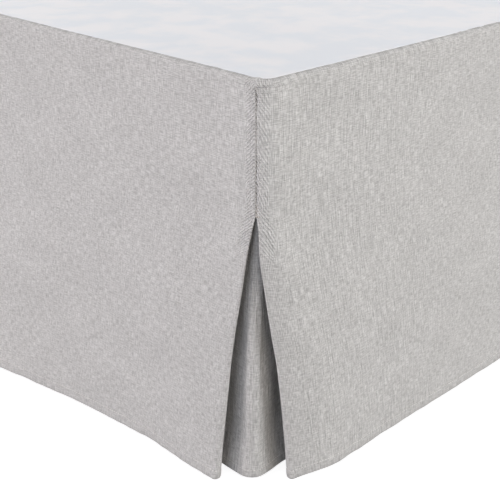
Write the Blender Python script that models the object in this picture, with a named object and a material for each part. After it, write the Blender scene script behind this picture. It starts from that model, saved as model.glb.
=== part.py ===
"""Bed skirt on a bed base.

A three-sided tailored skirt: a white deck lies on a plain bed base, and a foot panel and two side panels drop
from its edge. At each foot corner the two panels are stitched together down to an apex, and below it their
folded edges splay apart over an underlay, as a kick pleat. The panels are thin sheets in their hanging shape.

The frame is in metres, +Z up: the foot is at -Y, the head at +Y, and the floor at z = 0. Near a foot corner a
point in plan is given by two distances from the sharp corner of the two panel planes: "along", from the corner
along the foot panel, and "back", from the corner along the side panel.
"""

import math

import bmesh
import bpy
from mathutils import Vector

MM = 0.001

# Skirt
DECK_WIDTH = 1.524
DECK_LENGTH = 2.032
DROP = 0.381
HEM_ABOVE_FLOOR = 0.006
CLOTH = 1.2 * MM
PIECE_GAP = 0.4 * MM
TOP = HEM_ABOVE_FLOOR + DROP

# Corner where the panels turn, the seam on it, and the run over which the side panel starts to curl
CORNER_RADIUS = 16.0 * MM
SEAM_GAP = 0.5 * MM
APEX = 275.0 * MM
OPENING_RUN = 35.0 * MM

# Folded-back edges of the panels at the pleat
FACING_WIDTH = 42.0 * MM
FOLD_RADIUS_CLOSED = 1.6 * MM
FOLD_RADIUS_HEM = 6.0 * MM
FACING_BELOW_TOP = 6.0 * MM

# Rolled top edge, which the deck is sewn to
TOP_ROLL = 4.0 * MM
TOP_LAP = 5.5 * MM
DECK_CORNER = 11.0 * MM
DECK_HEAD_CORNER = 4.0 * MM

# Underlay behind the pleat
UNDERLAY_REACH = 132.0 * MM
UNDERLAY_FALL_RUNS = (15.0 * MM, 36.0 * MM)
UNDERLAY_FALL_SHARES = (0.45, 1.0)
UNDERLAY_BELOW_TOP = 9.0 * MM
UNDERLAY_SHORTER = 1.0 * MM

# Bed base and legs
BASE_INSET = 8.0 * MM
BASE_HEIGHT = 0.102
BASE_CORNER = 18.0 * MM
BASE_EDGE = 6.0 * MM
LEG_TOP_RADIUS = 27.0 * MM
LEG_FOOT_RADIUS = 19.0 * MM
LEG_FOOT_CHAMFER = 2.0 * MM
LEG_INSET_X = 0.130
LEG_INSET_Y = 0.130
LEG_SIDES = 20

# Folded edges of the pleat by height above the hem, in mm:
# height, foot fold along, side fold back, side fold along, length of the side panel's curl, its power
PLEAT_SECTIONS = (
    (275.0, 10.0, 1.7, 9.3, 14.6, 2.5),
    (240.0, 19.7, 3.8, 9.8, 22.0, 2.4),
    (200.0, 28.0, 11.4, 10.2, 30.0, 2.2),
    (155.0, 37.7, 21.3, 11.0, 38.0, 2.1),
    (130.0, 42.3, 27.4, 11.5, 42.0, 2.0),
    (85.0, 48.9, 35.7, 12.3, 48.0, 1.85),
    (40.0, 55.7, 43.0, 13.2, 53.0, 1.7),
    (0.0, 60.8, 48.6, 14.0, 56.0, 1.6),
)
# Underlay by height above the hem, in mm: height, depth behind the foot plane, depth behind the side plane,
# how much deeper its arms fall back behind the panels, radius of its soft corner
UNDERLAY_SECTIONS = (
    (381.0, 4.4, 4.4, 0.0, 11.6),
    (275.0, 4.6, 4.6, 0.0, 11.6),
    (240.0, 8.6, 14.2, 3.0, 9.0),
    (200.0, 11.0, 20.6, 5.0, 8.0),
    (130.0, 14.6, 26.8, 7.0, 8.0),
    (60.0, 17.6, 31.6, 7.0, 8.5),
    (25.0, 18.6, 33.8, 5.0, 11.0),
    (0.0, 19.3, 35.2, 1.0, 15.0),
)
# Broad outward waves of the foot panel at its hem, in mm: distance from the right corner, how far out
FOOT_FLARE = (
    (0.0, 1.0),
    (110.0, 3.0),
    (187.0, 6.7),
    (252.0, 14.0),
    (317.0, 26.0),
    (380.0, 37.0),
    (455.0, 42.0),
    (600.0, 32.0),
    (770.0, 22.0),
    (940.0, 30.0),
    (1080.0, 39.0),
    (1200.0, 29.0),
    (1310.0, 11.0),
    (1414.0, 3.0),
    (1524.0, 1.0),
)
# The same for the side panels: distance from the foot corner, right panel out, left panel out
SIDE_FLARE = (
    (0.0, 0.0, 0.0),
    (380.0, 1.0, 2.0),
    (560.0, 9.0, 6.0),
    (760.0, 16.0, 15.0),
    (980.0, 8.0, 18.0),
    (1200.0, 14.0, 10.0),
    (1450.0, 24.0, 13.0),
    (1700.0, 15.0, 24.0),
    (1880.0, 7.0, 12.0),
    (2032.0, 3.0, 4.0),
)
# Soft upright troughs of the foot panel, in mm: distance from the right corner, half width, depth at the hem
FOOT_TROUGHS = (
    (150.0, 26.0, 2.2),
    (338.0, 34.0, 1.4),
    (702.0, 52.0, 2.6),
    (1142.0, 46.0, 2.0),
    (1372.0, 30.0, 2.2),
)
FLARE_POWER = 1.35
WAVE_EASE = 0.5

# Mesh stations: heights above the hem, and shares of the way along a panel
ROW_HEIGHTS = tuple(h * MM for h in (0.0, 40.0, 85.0, 130.0, 200.0, 240.0, 275.0, 330.0))
ROLL_ANGLES = (0.0, 45.0, 90.0)
FOLD_STEPS = 6
FACING_SHARES = (1.0, 0.55, 0.18)
FOOT_SHARES = (0.006, 0.016, 0.032, 0.05, 0.072, 0.1, 0.14, 0.18, 0.225, 0.27, 0.33, 0.39, 0.45)
SIDE_SHARES = (0.0021, 0.0042, 0.0064, 0.0086, 0.014, 0.021, 0.03, 0.045, 0.07, 0.12, 0.18, 0.24, 0.31, 0.38, 0.45)
SIDE_SHARES += (0.53, 0.6, 0.67, 0.74, 0.8, 0.86, 0.92, 1.0)


def table_value(table, value, column, ease=0.0):
    """Value of a table's column at a value of its first column; ease rounds the crests at its rows."""
    rows = sorted(table)
    if value <= rows[0][0]:
        return rows[0][column]
    for low, high in zip(rows, rows[1:]):
        if value <= high[0]:
            share = (value - low[0]) / (high[0] - low[0])
            eased = share * share * (3.0 - 2.0 * share)
            share += (eased - share) * ease
            return low[column] + (high[column] - low[column]) * share
    return rows[-1][column]


def pleat(height, column):
    """One column of PLEAT_SECTIONS at a height above the hem, in metres except for the power."""
    value = table_value(PLEAT_SECTIONS, height / MM, column)
    return value if column == 5 else value * MM


def fold_radius(height):
    """Outer radius of the folded edges, tight where the seam holds them and rounder at the hem."""
    openness = max(0.0, 1.0 - height / APEX)
    return FOLD_RADIUS_CLOSED + (FOLD_RADIUS_HEM - FOLD_RADIUS_CLOSED) * openness


def corner_turn(distance):
    """How far a panel's face has turned in from its plane at a distance from the sharp corner."""
    short = CORNER_RADIUS - min(distance, CORNER_RADIUS)
    return CORNER_RADIUS - math.sqrt(CORNER_RADIUS**2 - short**2)


def hang(height):
    """Share of a wave's depth at the hem that is left at a height above it."""
    return max(0.0, 1.0 - height / DROP) ** FLARE_POWER


def foot_depth(along, height):
    """Depth of the foot panel's face behind its plane; negative where it flares out."""
    from_corner = min(along, DECK_WIDTH - along)
    out = table_value(FOOT_FLARE, along / MM, 1, WAVE_EASE) * MM
    for centre, half, depth in FOOT_TROUGHS:
        out -= depth * MM * math.exp(-(((along / MM - centre) / half) ** 2))
    return corner_turn(from_corner) - out * hang(height)


def side_depth(back, height, column):
    """Depth of a side panel's face behind its plane: round the corner above the apex, curled in below it."""
    fold_back = pleat(height, 2)
    fold_along = pleat(height, 3)
    length = pleat(height, 4)
    reach = (fold_back + length - back) / length
    curl = fold_along * max(0.0, reach) ** pleat(height, 5)
    opened = min(1.0, max(0.0, APEX - height) / OPENING_RUN)
    curl = corner_turn(back) * (1.0 - opened) + curl * opened
    return curl - table_value(SIDE_FLARE, back / MM, column, WAVE_EASE) * MM * hang(height)


def spine(face, start, end, steps):
    """Plan curve of a panel's face: (lengthwise, depth) points with their running lengths."""
    points = []
    for i in range(steps + 1):
        share = i / steps
        eased = 0.5 - 0.5 * math.cos(math.pi * share)
        where = start + (end - start) * (0.35 * share + 0.65 * eased)
        points.append((where, face(where)))
    lengths = [0.0]
    for before, after in zip(points, points[1:]):
        lengths.append(lengths[-1] + math.dist(before, after))
    return points, lengths


def on_spine(curve, length, depth):
    """Point at a length along a plan curve and a depth behind it."""
    points, lengths = curve
    last = len(points) - 2
    i = 0
    while i < last and lengths[i + 1] < length:
        i += 1
    (u0, v0), (u1, v1) = points[i], points[i + 1]
    run = lengths[i + 1] - lengths[i]
    share = (length - lengths[i]) / run
    du, dv = (u1 - u0) / run, (v1 - v0) / run
    return u0 + (u1 - u0) * share - dv * depth, v0 + (v1 - v0) * share + du * depth


def edge_stations(radius):
    """Facing and fold of a folded edge: (length from the fold, depth, how far it rolls in at the top)."""
    stations = [(radius + FACING_WIDTH * share, 2.0 * radius, 0.0) for share in FACING_SHARES]
    for i in range(FOLD_STEPS + 1):
        turn = math.pi * (0.5 - i / FOLD_STEPS)
        outward = i / FOLD_STEPS
        stations.append((radius - radius * math.cos(turn), radius + radius * math.sin(turn), outward))
    return stations


def top_rows():
    """Rows of the rolled top edge: (height above the hem, how far in, height of the facing there)."""
    rows = []
    for i, angle in enumerate(ROLL_ANGLES):
        turn = math.radians(angle)
        rise = DROP - TOP_ROLL + TOP_ROLL * math.sin(turn)
        rows.append((rise, TOP_ROLL * (1.0 - math.cos(turn)), DROP - FACING_BELOW_TOP - (3 - i) * MM))
    rows.append((DROP, TOP_LAP, DROP - FACING_BELOW_TOP))
    return rows


def all_rows():
    """Every row of a panel from the hem up, in the form of top_rows."""
    return [(h, 0.0, h) for h in ROW_HEIGHTS] + top_rows()


def row_point(curve, length, depth, outward, row):
    """Plan point and height of one station of a row, with the top roll where the station faces out."""
    rise, roll, facing_rise = row
    lengthwise, deep = on_spine(curve, length, depth + roll * outward)
    return lengthwise, deep, facing_rise + (rise - facing_rise) * outward


def foot_grid():
    """Outer face of the foot panel, as rows of (along, back, height) from the right facing to the left one."""
    grid = []
    for row in all_rows():
        height = row[0]
        radius = fold_radius(height)
        fold = pleat(height, 1) + 0.5 * SEAM_GAP
        curve = spine(lambda along: foot_depth(along, height), fold, DECK_WIDTH - fold, 240)
        total = curve[1][-1]
        edge = edge_stations(radius)
        flat = [(total * share, 0.0, 1.0) for share in FOOT_SHARES]
        half = edge + flat
        other = [(total - length, depth, outward) for length, depth, outward in reversed(half)]
        stations = half + [(total * 0.5, 0.0, 1.0)] + other
        grid.append([row_point(curve, *station, row) for station in stations])
    return grid


def side_grid(column):
    """Outer face of a side panel, as rows of (back, along, height) from its facing to the head end."""
    grid = []
    for row in all_rows():
        height = row[0]
        radius = fold_radius(height)
        fold = pleat(height, 2) + 0.5 * SEAM_GAP
        curve = spine(lambda back: side_depth(back, height, column), fold, DECK_LENGTH, 260)
        total = curve[1][-1]
        stations = edge_stations(radius) + [(total * share, 0.0, 1.0) for share in SIDE_SHARES]
        grid.append([row_point(curve, *station, row) for station in stations])
    return grid


def underlay_grid():
    """Outer face of a pleat underlay, as rows of (along, back, height) round its soft corner."""
    grid = []
    heights = [row[0] * MM for row in UNDERLAY_SECTIONS[1:-1]]
    lowest = UNDERLAY_SHORTER
    for height in [lowest, *sorted(heights), 0.5 * (APEX + DROP), DROP - UNDERLAY_BELOW_TOP]:
        behind_foot = table_value(UNDERLAY_SECTIONS, height / MM, 1) * MM
        behind_side = table_value(UNDERLAY_SECTIONS, height / MM, 2) * MM
        recess = table_value(UNDERLAY_SECTIONS, height / MM, 3) * MM
        radius = table_value(UNDERLAY_SECTIONS, height / MM, 4) * MM
        centre_along, centre_back = behind_side + radius, behind_foot + radius
        falls = [(run, recess * share) for run, share in zip(UNDERLAY_FALL_RUNS, UNDERLAY_FALL_SHARES)]
        row = [(UNDERLAY_REACH, behind_foot + recess, height)]
        row += [(centre_along + run, behind_foot + fall, height) for run, fall in reversed(falls)]
        for i in range(FOLD_STEPS + 1):
            turn = 0.5 * math.pi * i / FOLD_STEPS
            along = centre_along - radius * math.sin(turn)
            back = centre_back - radius * math.cos(turn)
            row.append((along, back, height))
        row += [(behind_side + fall, centre_back + run, height) for run, fall in falls]
        row.append((behind_side + recess, UNDERLAY_REACH, height))
        grid.append(row)
    return grid


def sheet_solid(name, grid, inward):
    """Closed sheet of cloth thickness: its outer face is the grid, and its inner face lies behind it."""
    rows, columns = len(grid), len(grid[0])
    face = [[Vector(point) for point in row] for row in grid]

    def normal(r, c):
        across = face[r][min(c + 1, columns - 1)] - face[r][max(c - 1, 0)]
        upward = face[min(r + 1, rows - 1)][c] - face[max(r - 1, 0)][c]
        return across.cross(upward).normalized() * inward

    mesh = bmesh.new()
    outer = [[mesh.verts.new(face[r][c]) for c in range(columns)] for r in range(rows)]
    inner = [[mesh.verts.new(face[r][c] + normal(r, c) * CLOTH) for c in range(columns)] for r in range(rows)]
    for r in range(rows - 1):
        for c in range(columns - 1):
            mesh.faces.new((outer[r][c], outer[r][c + 1], outer[r + 1][c + 1], outer[r + 1][c]))
            mesh.faces.new((inner[r][c], inner[r + 1][c], inner[r + 1][c + 1], inner[r][c + 1]))
    for r in range(rows - 1):
        for c in (0, columns - 1):
            mesh.faces.new((outer[r][c], outer[r + 1][c], inner[r + 1][c], inner[r][c]))
    for c in range(columns - 1):
        for r in (0, rows - 1):
            mesh.faces.new((outer[r][c], outer[r][c + 1], inner[r][c + 1], inner[r][c]))
    bmesh.ops.recalc_face_normals(mesh, faces=mesh.faces)
    return finish_mesh(name, mesh)


def finish_mesh(name, mesh):
    """Object from a bmesh, smooth except at sharp edges."""
    data = bpy.data.meshes.new(name)
    mesh.to_mesh(data)
    mesh.free()
    data.shade_smooth()
    data.set_sharp_from_angle(angle=math.radians(35.0))
    piece = bpy.data.objects.new(name, data)
    bpy.context.scene.collection.objects.link(piece)
    return piece


def paint(piece, colour, roughness):
    """Gives a piece its own plain material."""
    material = bpy.data.materials.new(piece.name)
    material.use_nodes = True
    shader = material.node_tree.nodes["Principled BSDF"]
    shader.inputs["Base Color"].default_value = (*colour, 1.0)
    shader.inputs["Roughness"].default_value = roughness
    shader.inputs["Metallic"].default_value = 0.0
    piece.data.materials.append(material)


def to_world(grid, right, swap):
    """Corner distances to world points, at the right or the left foot corner."""
    side = 1.0 if right else -1.0
    points = []
    for row in grid:
        line = []
        for first, second, height in row:
            along, back = (second, first) if swap else (first, second)
            x = side * (0.5 * DECK_WIDTH - along)
            line.append((x, back - 0.5 * DECK_LENGTH, HEM_ABOVE_FLOOR + height))
        points.append(line)
    return points


def rounded_outline(inset, foot_radius, head_radius, length_cut):
    """Plan outline of the deck or base: a rectangle with rounded corners, anticlockwise from the foot."""
    half_x, foot, head = 0.5 * DECK_WIDTH - inset, -0.5 * DECK_LENGTH + inset, 0.5 * DECK_LENGTH - length_cut
    corners = (
        (half_x, foot, -90.0, foot_radius),
        (half_x, head, 0.0, head_radius),
        (-half_x, head, 90.0, head_radius),
        (-half_x, foot, 180.0, foot_radius),
    )
    outline = []
    for x, y, start, radius in corners:
        centre_x, centre_y = x - math.copysign(radius, x), y - math.copysign(radius, y)
        for i in range(FOLD_STEPS + 1):
            turn = math.radians(start + 90.0 * i / FOLD_STEPS)
            outline.append((centre_x + radius * math.cos(turn), centre_y + radius * math.sin(turn)))
    return outline


def slab(name, outline, low, high, edge):
    """Upright slab on a plan outline, with its top and bottom edges rounded over if edge is given."""
    mesh = bmesh.new()
    bottom = mesh.faces.new([mesh.verts.new((x, y, low)) for x, y in outline])
    made = bmesh.ops.extrude_face_region(mesh, geom=[bottom])["geom"]
    lifted = [item for item in made if isinstance(item, bmesh.types.BMVert)]
    bmesh.ops.translate(mesh, verts=lifted, vec=(0.0, 0.0, high - low))
    bmesh.ops.recalc_face_normals(mesh, faces=mesh.faces)
    if edge:
        rims = [e for e in mesh.edges if e.verts[0].co.z == e.verts[1].co.z]
        bmesh.ops.bevel(mesh, geom=rims, offset=edge, segments=3, profile=0.5, affect="EDGES")
    return finish_mesh(name, mesh)


def make_leg(name, x, y, height):
    """Round tapered leg with a chamfered foot, standing on the floor."""
    mesh = bmesh.new()
    profile = (
        (LEG_FOOT_RADIUS - LEG_FOOT_CHAMFER, 0.0),
        (LEG_FOOT_RADIUS, LEG_FOOT_CHAMFER),
        (LEG_TOP_RADIUS, height),
    )
    rings = []
    for radius, z in profile:
        turns = [2.0 * math.pi * i / LEG_SIDES for i in range(LEG_SIDES)]
        rings.append([mesh.verts.new((radius * math.cos(t), radius * math.sin(t), z)) for t in turns])
    for lower, upper in zip(rings, rings[1:]):
        for i in range(LEG_SIDES):
            j = (i + 1) % LEG_SIDES
            mesh.faces.new((lower[i], lower[j], upper[j], upper[i]))
    mesh.faces.new(list(reversed(rings[0])))
    mesh.faces.new(rings[-1])
    piece = finish_mesh(name, mesh)
    piece.location = (x, y, 0.0)
    return piece


def stand_on_origin(pieces):
    """Moves every piece so that the middle of the whole plan box is at the origin."""
    bpy.context.view_layer.update()
    places = [piece.matrix_world @ vertex.co for piece in pieces for vertex in piece.data.vertices]
    middle_x = 0.5 * (min(p.x for p in places) + max(p.x for p in places))
    middle_y = 0.5 * (min(p.y for p in places) + max(p.y for p in places))
    for piece in pieces:
        piece.location = piece.location - Vector((middle_x, middle_y, 0.0))


def main():
    """Builds every piece of the skirt and its bed base."""
    for old in list(bpy.data.objects):
        bpy.data.objects.remove(old, do_unlink=True)

    cloth_colour = (0.52, 0.50, 0.49)
    pieces = []

    foot = sheet_solid("foot_panel", to_world(foot_grid(), True, False), 1.0)
    paint(foot, cloth_colour, 0.85)
    pieces.append(foot)
    for name, right, column in (("right", True, 1), ("left", False, 2)):
        inward = 1.0 if right else -1.0
        panel = sheet_solid(f"side_panel_{name}", to_world(side_grid(column), right, True), -inward)
        underlay = sheet_solid(f"pleat_underlay_{name}", to_world(underlay_grid(), right, False), -inward)
        for piece in (panel, underlay):
            paint(piece, cloth_colour, 0.85)
            pieces.append(piece)

    deck_inset = TOP_LAP + PIECE_GAP
    deck_outline = rounded_outline(deck_inset, DECK_CORNER, DECK_HEAD_CORNER, 0.0)
    deck = slab("deck", deck_outline, TOP - CLOTH, TOP, 0.0)
    paint(deck, (0.80, 0.82, 0.85), 0.8)
    pieces.append(deck)

    base_top = TOP - CLOTH - PIECE_GAP
    base_outline = rounded_outline(BASE_INSET, BASE_CORNER, BASE_CORNER, BASE_INSET)
    base = slab("bed_base", base_outline, base_top - BASE_HEIGHT, base_top, BASE_EDGE)
    paint(base, (0.72, 0.70, 0.66), 0.8)
    pieces.append(base)

    leg_height = base_top - BASE_HEIGHT - PIECE_GAP
    reach_x, reach_y = 0.5 * DECK_WIDTH - LEG_INSET_X, 0.5 * DECK_LENGTH - LEG_INSET_Y
    places = [(x, y) for y in (-reach_y, 0.0, reach_y) for x in (-reach_x, reach_x)]
    for number, (x, y) in enumerate(places, start=1):
        leg = make_leg(f"leg_{number}", x, y, leg_height)
        paint(leg, (0.45, 0.29, 0.16), 0.5)
        pieces.append(leg)

    stand_on_origin(pieces)


main()
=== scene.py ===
"""Looks of a tailored bed skirt that hangs round a plain bed base.

Three drop panels of slubbed grey cloth hang from a white deck. At each foot corner two panels are seamed down to a
bar tack, and below it their folded edges splay apart over an underlay. Every sheet is a fine closed mesh that
follows the hanging shape of its CAD solid, with its hems, folds, puckers and stitches.

Units are metres, +Z up. Near a foot corner a place in plan is given by two distances from the sharp corner of the
two panel planes: "along", from the corner along the foot panel, and "back", from the corner along the side panel.
Heights are above the hem. Tables are in millimetres.
"""

import logging
import math
from abc import ABC, abstractmethod
from dataclasses import dataclass, field
from enum import Enum
from typing import Any, Mapping, Sequence

import bpy
import numpy as np
from mathutils import Matrix, Vector


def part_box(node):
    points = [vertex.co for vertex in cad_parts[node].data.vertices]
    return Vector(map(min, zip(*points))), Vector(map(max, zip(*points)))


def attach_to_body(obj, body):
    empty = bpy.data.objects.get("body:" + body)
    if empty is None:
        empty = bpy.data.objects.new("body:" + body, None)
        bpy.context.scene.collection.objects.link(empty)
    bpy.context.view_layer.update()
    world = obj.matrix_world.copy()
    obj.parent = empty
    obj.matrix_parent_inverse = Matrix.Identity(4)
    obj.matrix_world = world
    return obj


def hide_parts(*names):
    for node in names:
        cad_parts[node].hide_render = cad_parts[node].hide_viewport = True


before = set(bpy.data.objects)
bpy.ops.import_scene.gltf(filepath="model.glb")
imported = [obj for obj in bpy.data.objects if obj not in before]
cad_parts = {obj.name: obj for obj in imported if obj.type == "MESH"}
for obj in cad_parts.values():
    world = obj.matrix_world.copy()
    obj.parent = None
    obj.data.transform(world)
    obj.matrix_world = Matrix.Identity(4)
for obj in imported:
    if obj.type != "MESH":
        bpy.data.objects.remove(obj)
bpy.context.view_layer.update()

Array = np.ndarray
Socket = bpy.types.NodeSocket
LOG = logging.getLogger("bed_skirt")

MM = 0.001
BODY = "root"

# Drop of the skirt and the places of its panels round the deck
DROP = 381.0 * MM
DECK_LAP = 5.9 * MM
CORNER_RADIUS = 16.0 * MM

# Corner seam: its lower end, where the pleat opens; how far each fold reaches past its line; where it closes over
# below the top; the depth below its end in which the side panel turns from the round corner to its curl
APEX = 274.2 * MM
SEAM_OVERLAP = 0.11 * MM
SEAM_TOP = 5.0 * MM
OPENING_RUN = 35.0 * MM

# Cloth, its folded edges and its rolled top
CLOTH = 0.9 * MM
FACING_WIDTH = 42.0 * MM
FACING_BELOW_TOP = 6.0 * MM  # where a facing ends below the top
FACING_KNEE = 14.0 * MM  # where its rows begin to close up towards that end
FOLD_RADIUS_CLOSED = 0.42 * MM
FOLD_RADIUS_HEM = 5.6 * MM
TOP_ROLL = 4.0 * MM
TOP_LAP = 5.5 * MM

# Hem: a half-inch double fold, its stitch line, and the two more layers of cloth in it
HEM_DEPTH = 11.4 * MM
HEM_STITCH = 10.2 * MM
HEM_LAYERS = 1.5 * MM
HEM_ROUND = 1.4 * MM  # height in which the hem's lower fold rounds off

FLARE_POWER = 1.35  # how a wave's depth fades from the hem to the top

# Flat width and height of the cut panels and underlays
FOOT_CUT = (1.6, 0.39)
SIDE_CUT = (2.08, 0.39)

# Height above the hem, foot fold along, side fold back, side fold along, length of the side panel's curl, its power
PLEAT_SECTIONS = (
    (274.2, 10.9, 0.85, 10.7, 14.6, 2.5),
    (240.0, 19.7, 3.8, 9.8, 22.0, 2.4),
    (200.0, 28.0, 11.4, 10.2, 30.0, 2.2),
    (155.0, 37.7, 21.3, 11.0, 38.0, 2.1),
    (130.0, 42.3, 27.4, 11.5, 42.0, 2.0),
    (85.0, 48.9, 35.7, 12.3, 48.0, 1.85),
    (40.0, 55.7, 43.0, 13.2, 53.0, 1.7),
    (0.0, 60.8, 48.6, 14.0, 56.0, 1.6),
)
# Underlay: height above the hem, depth behind the foot plane, depth behind the side plane, how much deeper its arms
# fall back behind the panels, radius of its soft corner
UNDERLAY_SECTIONS = (
    (381.0, 4.4, 4.4, 0.0, 11.6),
    (275.0, 4.6, 4.6, 0.0, 11.6),
    (240.0, 8.6, 14.2, 3.0, 9.0),
    (200.0, 11.0, 20.6, 5.0, 8.0),
    (130.0, 14.6, 26.8, 7.0, 8.0),
    (60.0, 17.6, 31.6, 7.0, 8.5),
    (25.0, 18.6, 33.8, 5.0, 11.0),
    (0.0, 19.3, 35.2, 1.0, 15.0),
)
# Broad outward waves of the foot panel at its hem: distance from the right corner, how far out
FOOT_FLARE = (
    (0.0, 1.0),
    (110.0, 3.0),
    (187.0, 6.7),
    (252.0, 14.0),
    (317.0, 26.0),
    (380.0, 37.0),
    (455.0, 42.0),
    (600.0, 32.0),
    (770.0, 22.0),
    (940.0, 30.0),
    (1080.0, 39.0),
    (1200.0, 29.0),
    (1310.0, 11.0),
    (1414.0, 3.0),
    (1524.0, 1.0),
)
# The same for the side panels: distance from the foot corner, right panel out, left panel out
SIDE_FLARE = (
    (0.0, 0.0, 0.0),
    (380.0, 1.0, 2.0),
    (560.0, 9.0, 6.0),
    (760.0, 16.0, 15.0),
    (980.0, 8.0, 18.0),
    (1200.0, 14.0, 10.0),
    (1450.0, 24.0, 13.0),
    (1700.0, 15.0, 24.0),
    (1880.0, 7.0, 12.0),
    (2032.0, 3.0, 4.0),
)
# Soft upright troughs of the foot panel: distance from the right corner, half width, depth at the hem
FOOT_TROUGHS = (
    (150.0, 26.0, 2.2),
    (338.0, 34.0, 1.4),
    (702.0, 52.0, 2.6),
    (1142.0, 46.0, 2.0),
    (1372.0, 30.0, 2.2),
)


class Side(Enum):
    """Foot corner, by the sign of its X."""

    RIGHT = 1.0
    LEFT = -1.0


# ---------------------------------------------------------------------------------------------------------------
# Curves, grids and meshes
# ---------------------------------------------------------------------------------------------------------------


class Profile:
    """Smooth curve through a table's rows that makes no overshoot between them."""

    def __init__(self, table: Sequence[Sequence[float]], column: int, scale: float = MM) -> None:
        """Fits the curve.

        Args:
            table: rows whose first column is the place in millimetres.
            column: column that holds the values.
            scale: unit of the values, in metres for a length.
        """
        rows = sorted(table)
        self.places = np.array([row[0] for row in rows]) * MM
        self.values = np.array([row[column] for row in rows]) * scale
        runs = np.diff(self.places)
        slopes = np.diff(self.values) / runs
        self.slopes = np.concatenate((slopes[:1], np.zeros(len(rows) - 2), slopes[-1:]))
        for i in range(1, len(rows) - 1):
            before, after = slopes[i - 1], slopes[i]
            if before * after > 0.0:
                near, far = 2.0 * runs[i] + runs[i - 1], runs[i] + 2.0 * runs[i - 1]
                self.slopes[i] = (near + far) / (near / before + far / after)

    def __call__(self, place: Array | float) -> Array:
        """Value at a place, held at the ends of the table."""
        at = np.clip(place, self.places[0], self.places[-1])
        i = np.clip(np.searchsorted(self.places, at, side="right") - 1, 0, len(self.places) - 2)
        run = self.places[i + 1] - self.places[i]
        t = (at - self.places[i]) / run
        rise = self.values[i + 1] - self.values[i]
        eased = t * t * (3.0 - 2.0 * t)
        bend = t * (1.0 - t) * ((1.0 - t) * self.slopes[i] - t * self.slopes[i + 1])
        return self.values[i] + rise * eased + run * bend


class PlanCurve:
    """Plan line of a panel's face, walked by length, with the direction behind it."""

    def __init__(self, places: Array, depths: Array) -> None:
        """Takes the line's points: places lengthwise, and depths behind the panel's plane."""
        self.points = np.stack((places, depths), axis=1)
        self.lengths = walked(self.points)
        tangents = unit(np.gradient(self.points, self.lengths, axis=0))
        self.behind = np.stack((-tangents[:, 1], tangents[:, 0]), axis=1)

    @property
    def total(self) -> float:
        """Length of the whole line."""
        return float(self.lengths[-1])

    def at(self, length: Array, depth: Array) -> tuple[Array, Array]:
        """Lengthwise place and depth of points at lengths along the line and depths behind it."""
        place = np.interp(length, self.lengths, self.points[:, 0])
        deep = np.interp(length, self.lengths, self.points[:, 1])
        place = place + depth * np.interp(length, self.lengths, self.behind[:, 0])
        deep = deep + depth * np.interp(length, self.lengths, self.behind[:, 1])
        return place, deep


class SoftRelief:
    """Gentle unevenness of hanging cloth: many long, crossing waves in fixed random directions."""

    def __init__(self, seed: int, shortest: float, longest: float, count: int = 14) -> None:
        """Draws the waves.

        Args:
            seed: seed of the random draws.
            shortest: shortest wavelength.
            longest: longest wavelength.
            count: how many waves.
        """
        draw = np.random.default_rng(seed)
        spans = np.exp(draw.uniform(math.log(shortest), math.log(longest), count))
        turns = draw.uniform(0.0, math.pi, count)
        self.waves = np.stack((np.cos(turns), np.sin(turns)), axis=1) * (2.0 * math.pi / spans)[:, None]
        self.phases = draw.uniform(0.0, 2.0 * math.pi, count)
        self.weights = spans / np.sqrt(np.sum(spans**2) * 0.5)

    def __call__(self, across: Array, up: Array) -> Array:
        """Height of the relief, about -2 to 2, at places on the cloth."""
        height = np.zeros(np.broadcast(across, up).shape)
        for wave, phase, weight in zip(self.waves, self.phases, self.weights):
            height += weight * np.sin(wave[0] * across + wave[1] * up + phase)
        return height


@dataclass
class Grid:
    """Outer face of a cloth sheet: its points, and where each lies on the flat cloth."""

    points: Array
    cloth: Array
    seam: Array
    outward: float


def unit(vectors: Array) -> Array:
    """The same directions, one unit long."""
    return vectors / np.maximum(np.linalg.norm(vectors, axis=-1, keepdims=True), 1e-12)


def walked(line: Array) -> Array:
    """Length from the start of a line to each of its points."""
    steps = np.linalg.norm(np.diff(line, axis=0), axis=1)
    return np.concatenate(([0.0], np.cumsum(steps)))


def grid_normals(points: Array) -> Array:
    """Unit normals of a grid of points, from its columns towards its rows."""
    return unit(np.cross(np.gradient(points, axis=1), np.gradient(points, axis=0)))


def hump(place: Array, centre: float, half: float) -> Array:
    """Soft bump of height 1 round a centre."""
    return np.exp(-(((place - centre) / half) ** 2))


def ramp(place: Array, start: float, end: float) -> Array:
    """Smooth step from 0 at start to 1 at end."""
    t = np.clip((place - start) / (end - start), 0.0, 1.0)
    return t * t * (3.0 - 2.0 * t)


def graded(*spans: tuple[float, float], start: float = 0.0) -> Array:
    """Stations that run through spans, each given by its end and its step, both ends included."""
    stations = [np.array([start])]
    for end, step in spans:
        first = stations[-1][-1]
        count = max(1, round((end - first) / step))
        stations.append(np.linspace(first, end, count + 1)[1:])
    return np.concatenate(stations)


def corner_turn(distance: Array, radius: float = CORNER_RADIUS) -> Array:
    """How far a rounded edge has turned in from its plane at a distance from the sharp corner."""
    short = radius - np.clip(distance, 0.0, radius)
    return radius - np.sqrt(radius**2 - short**2)


def hem_dip(height: Array, stitch: float, groove: float, half: float, edge: float) -> Array:
    """How far a hem is drawn in at its stitches, and rounded off at its fold.

    Args:
        height: height above the hem's edge.
        stitch: height of the stitches.
        groove: how deep they draw it in.
        half: half the width of that groove.
        edge: how far the fold turns in.

    Returns:
        The depth at each place.
    """
    return groove * hump(height, stitch, half) + edge * np.clip(1.0 - height / HEM_ROUND, 0.0, 1.0) ** 2


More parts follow.
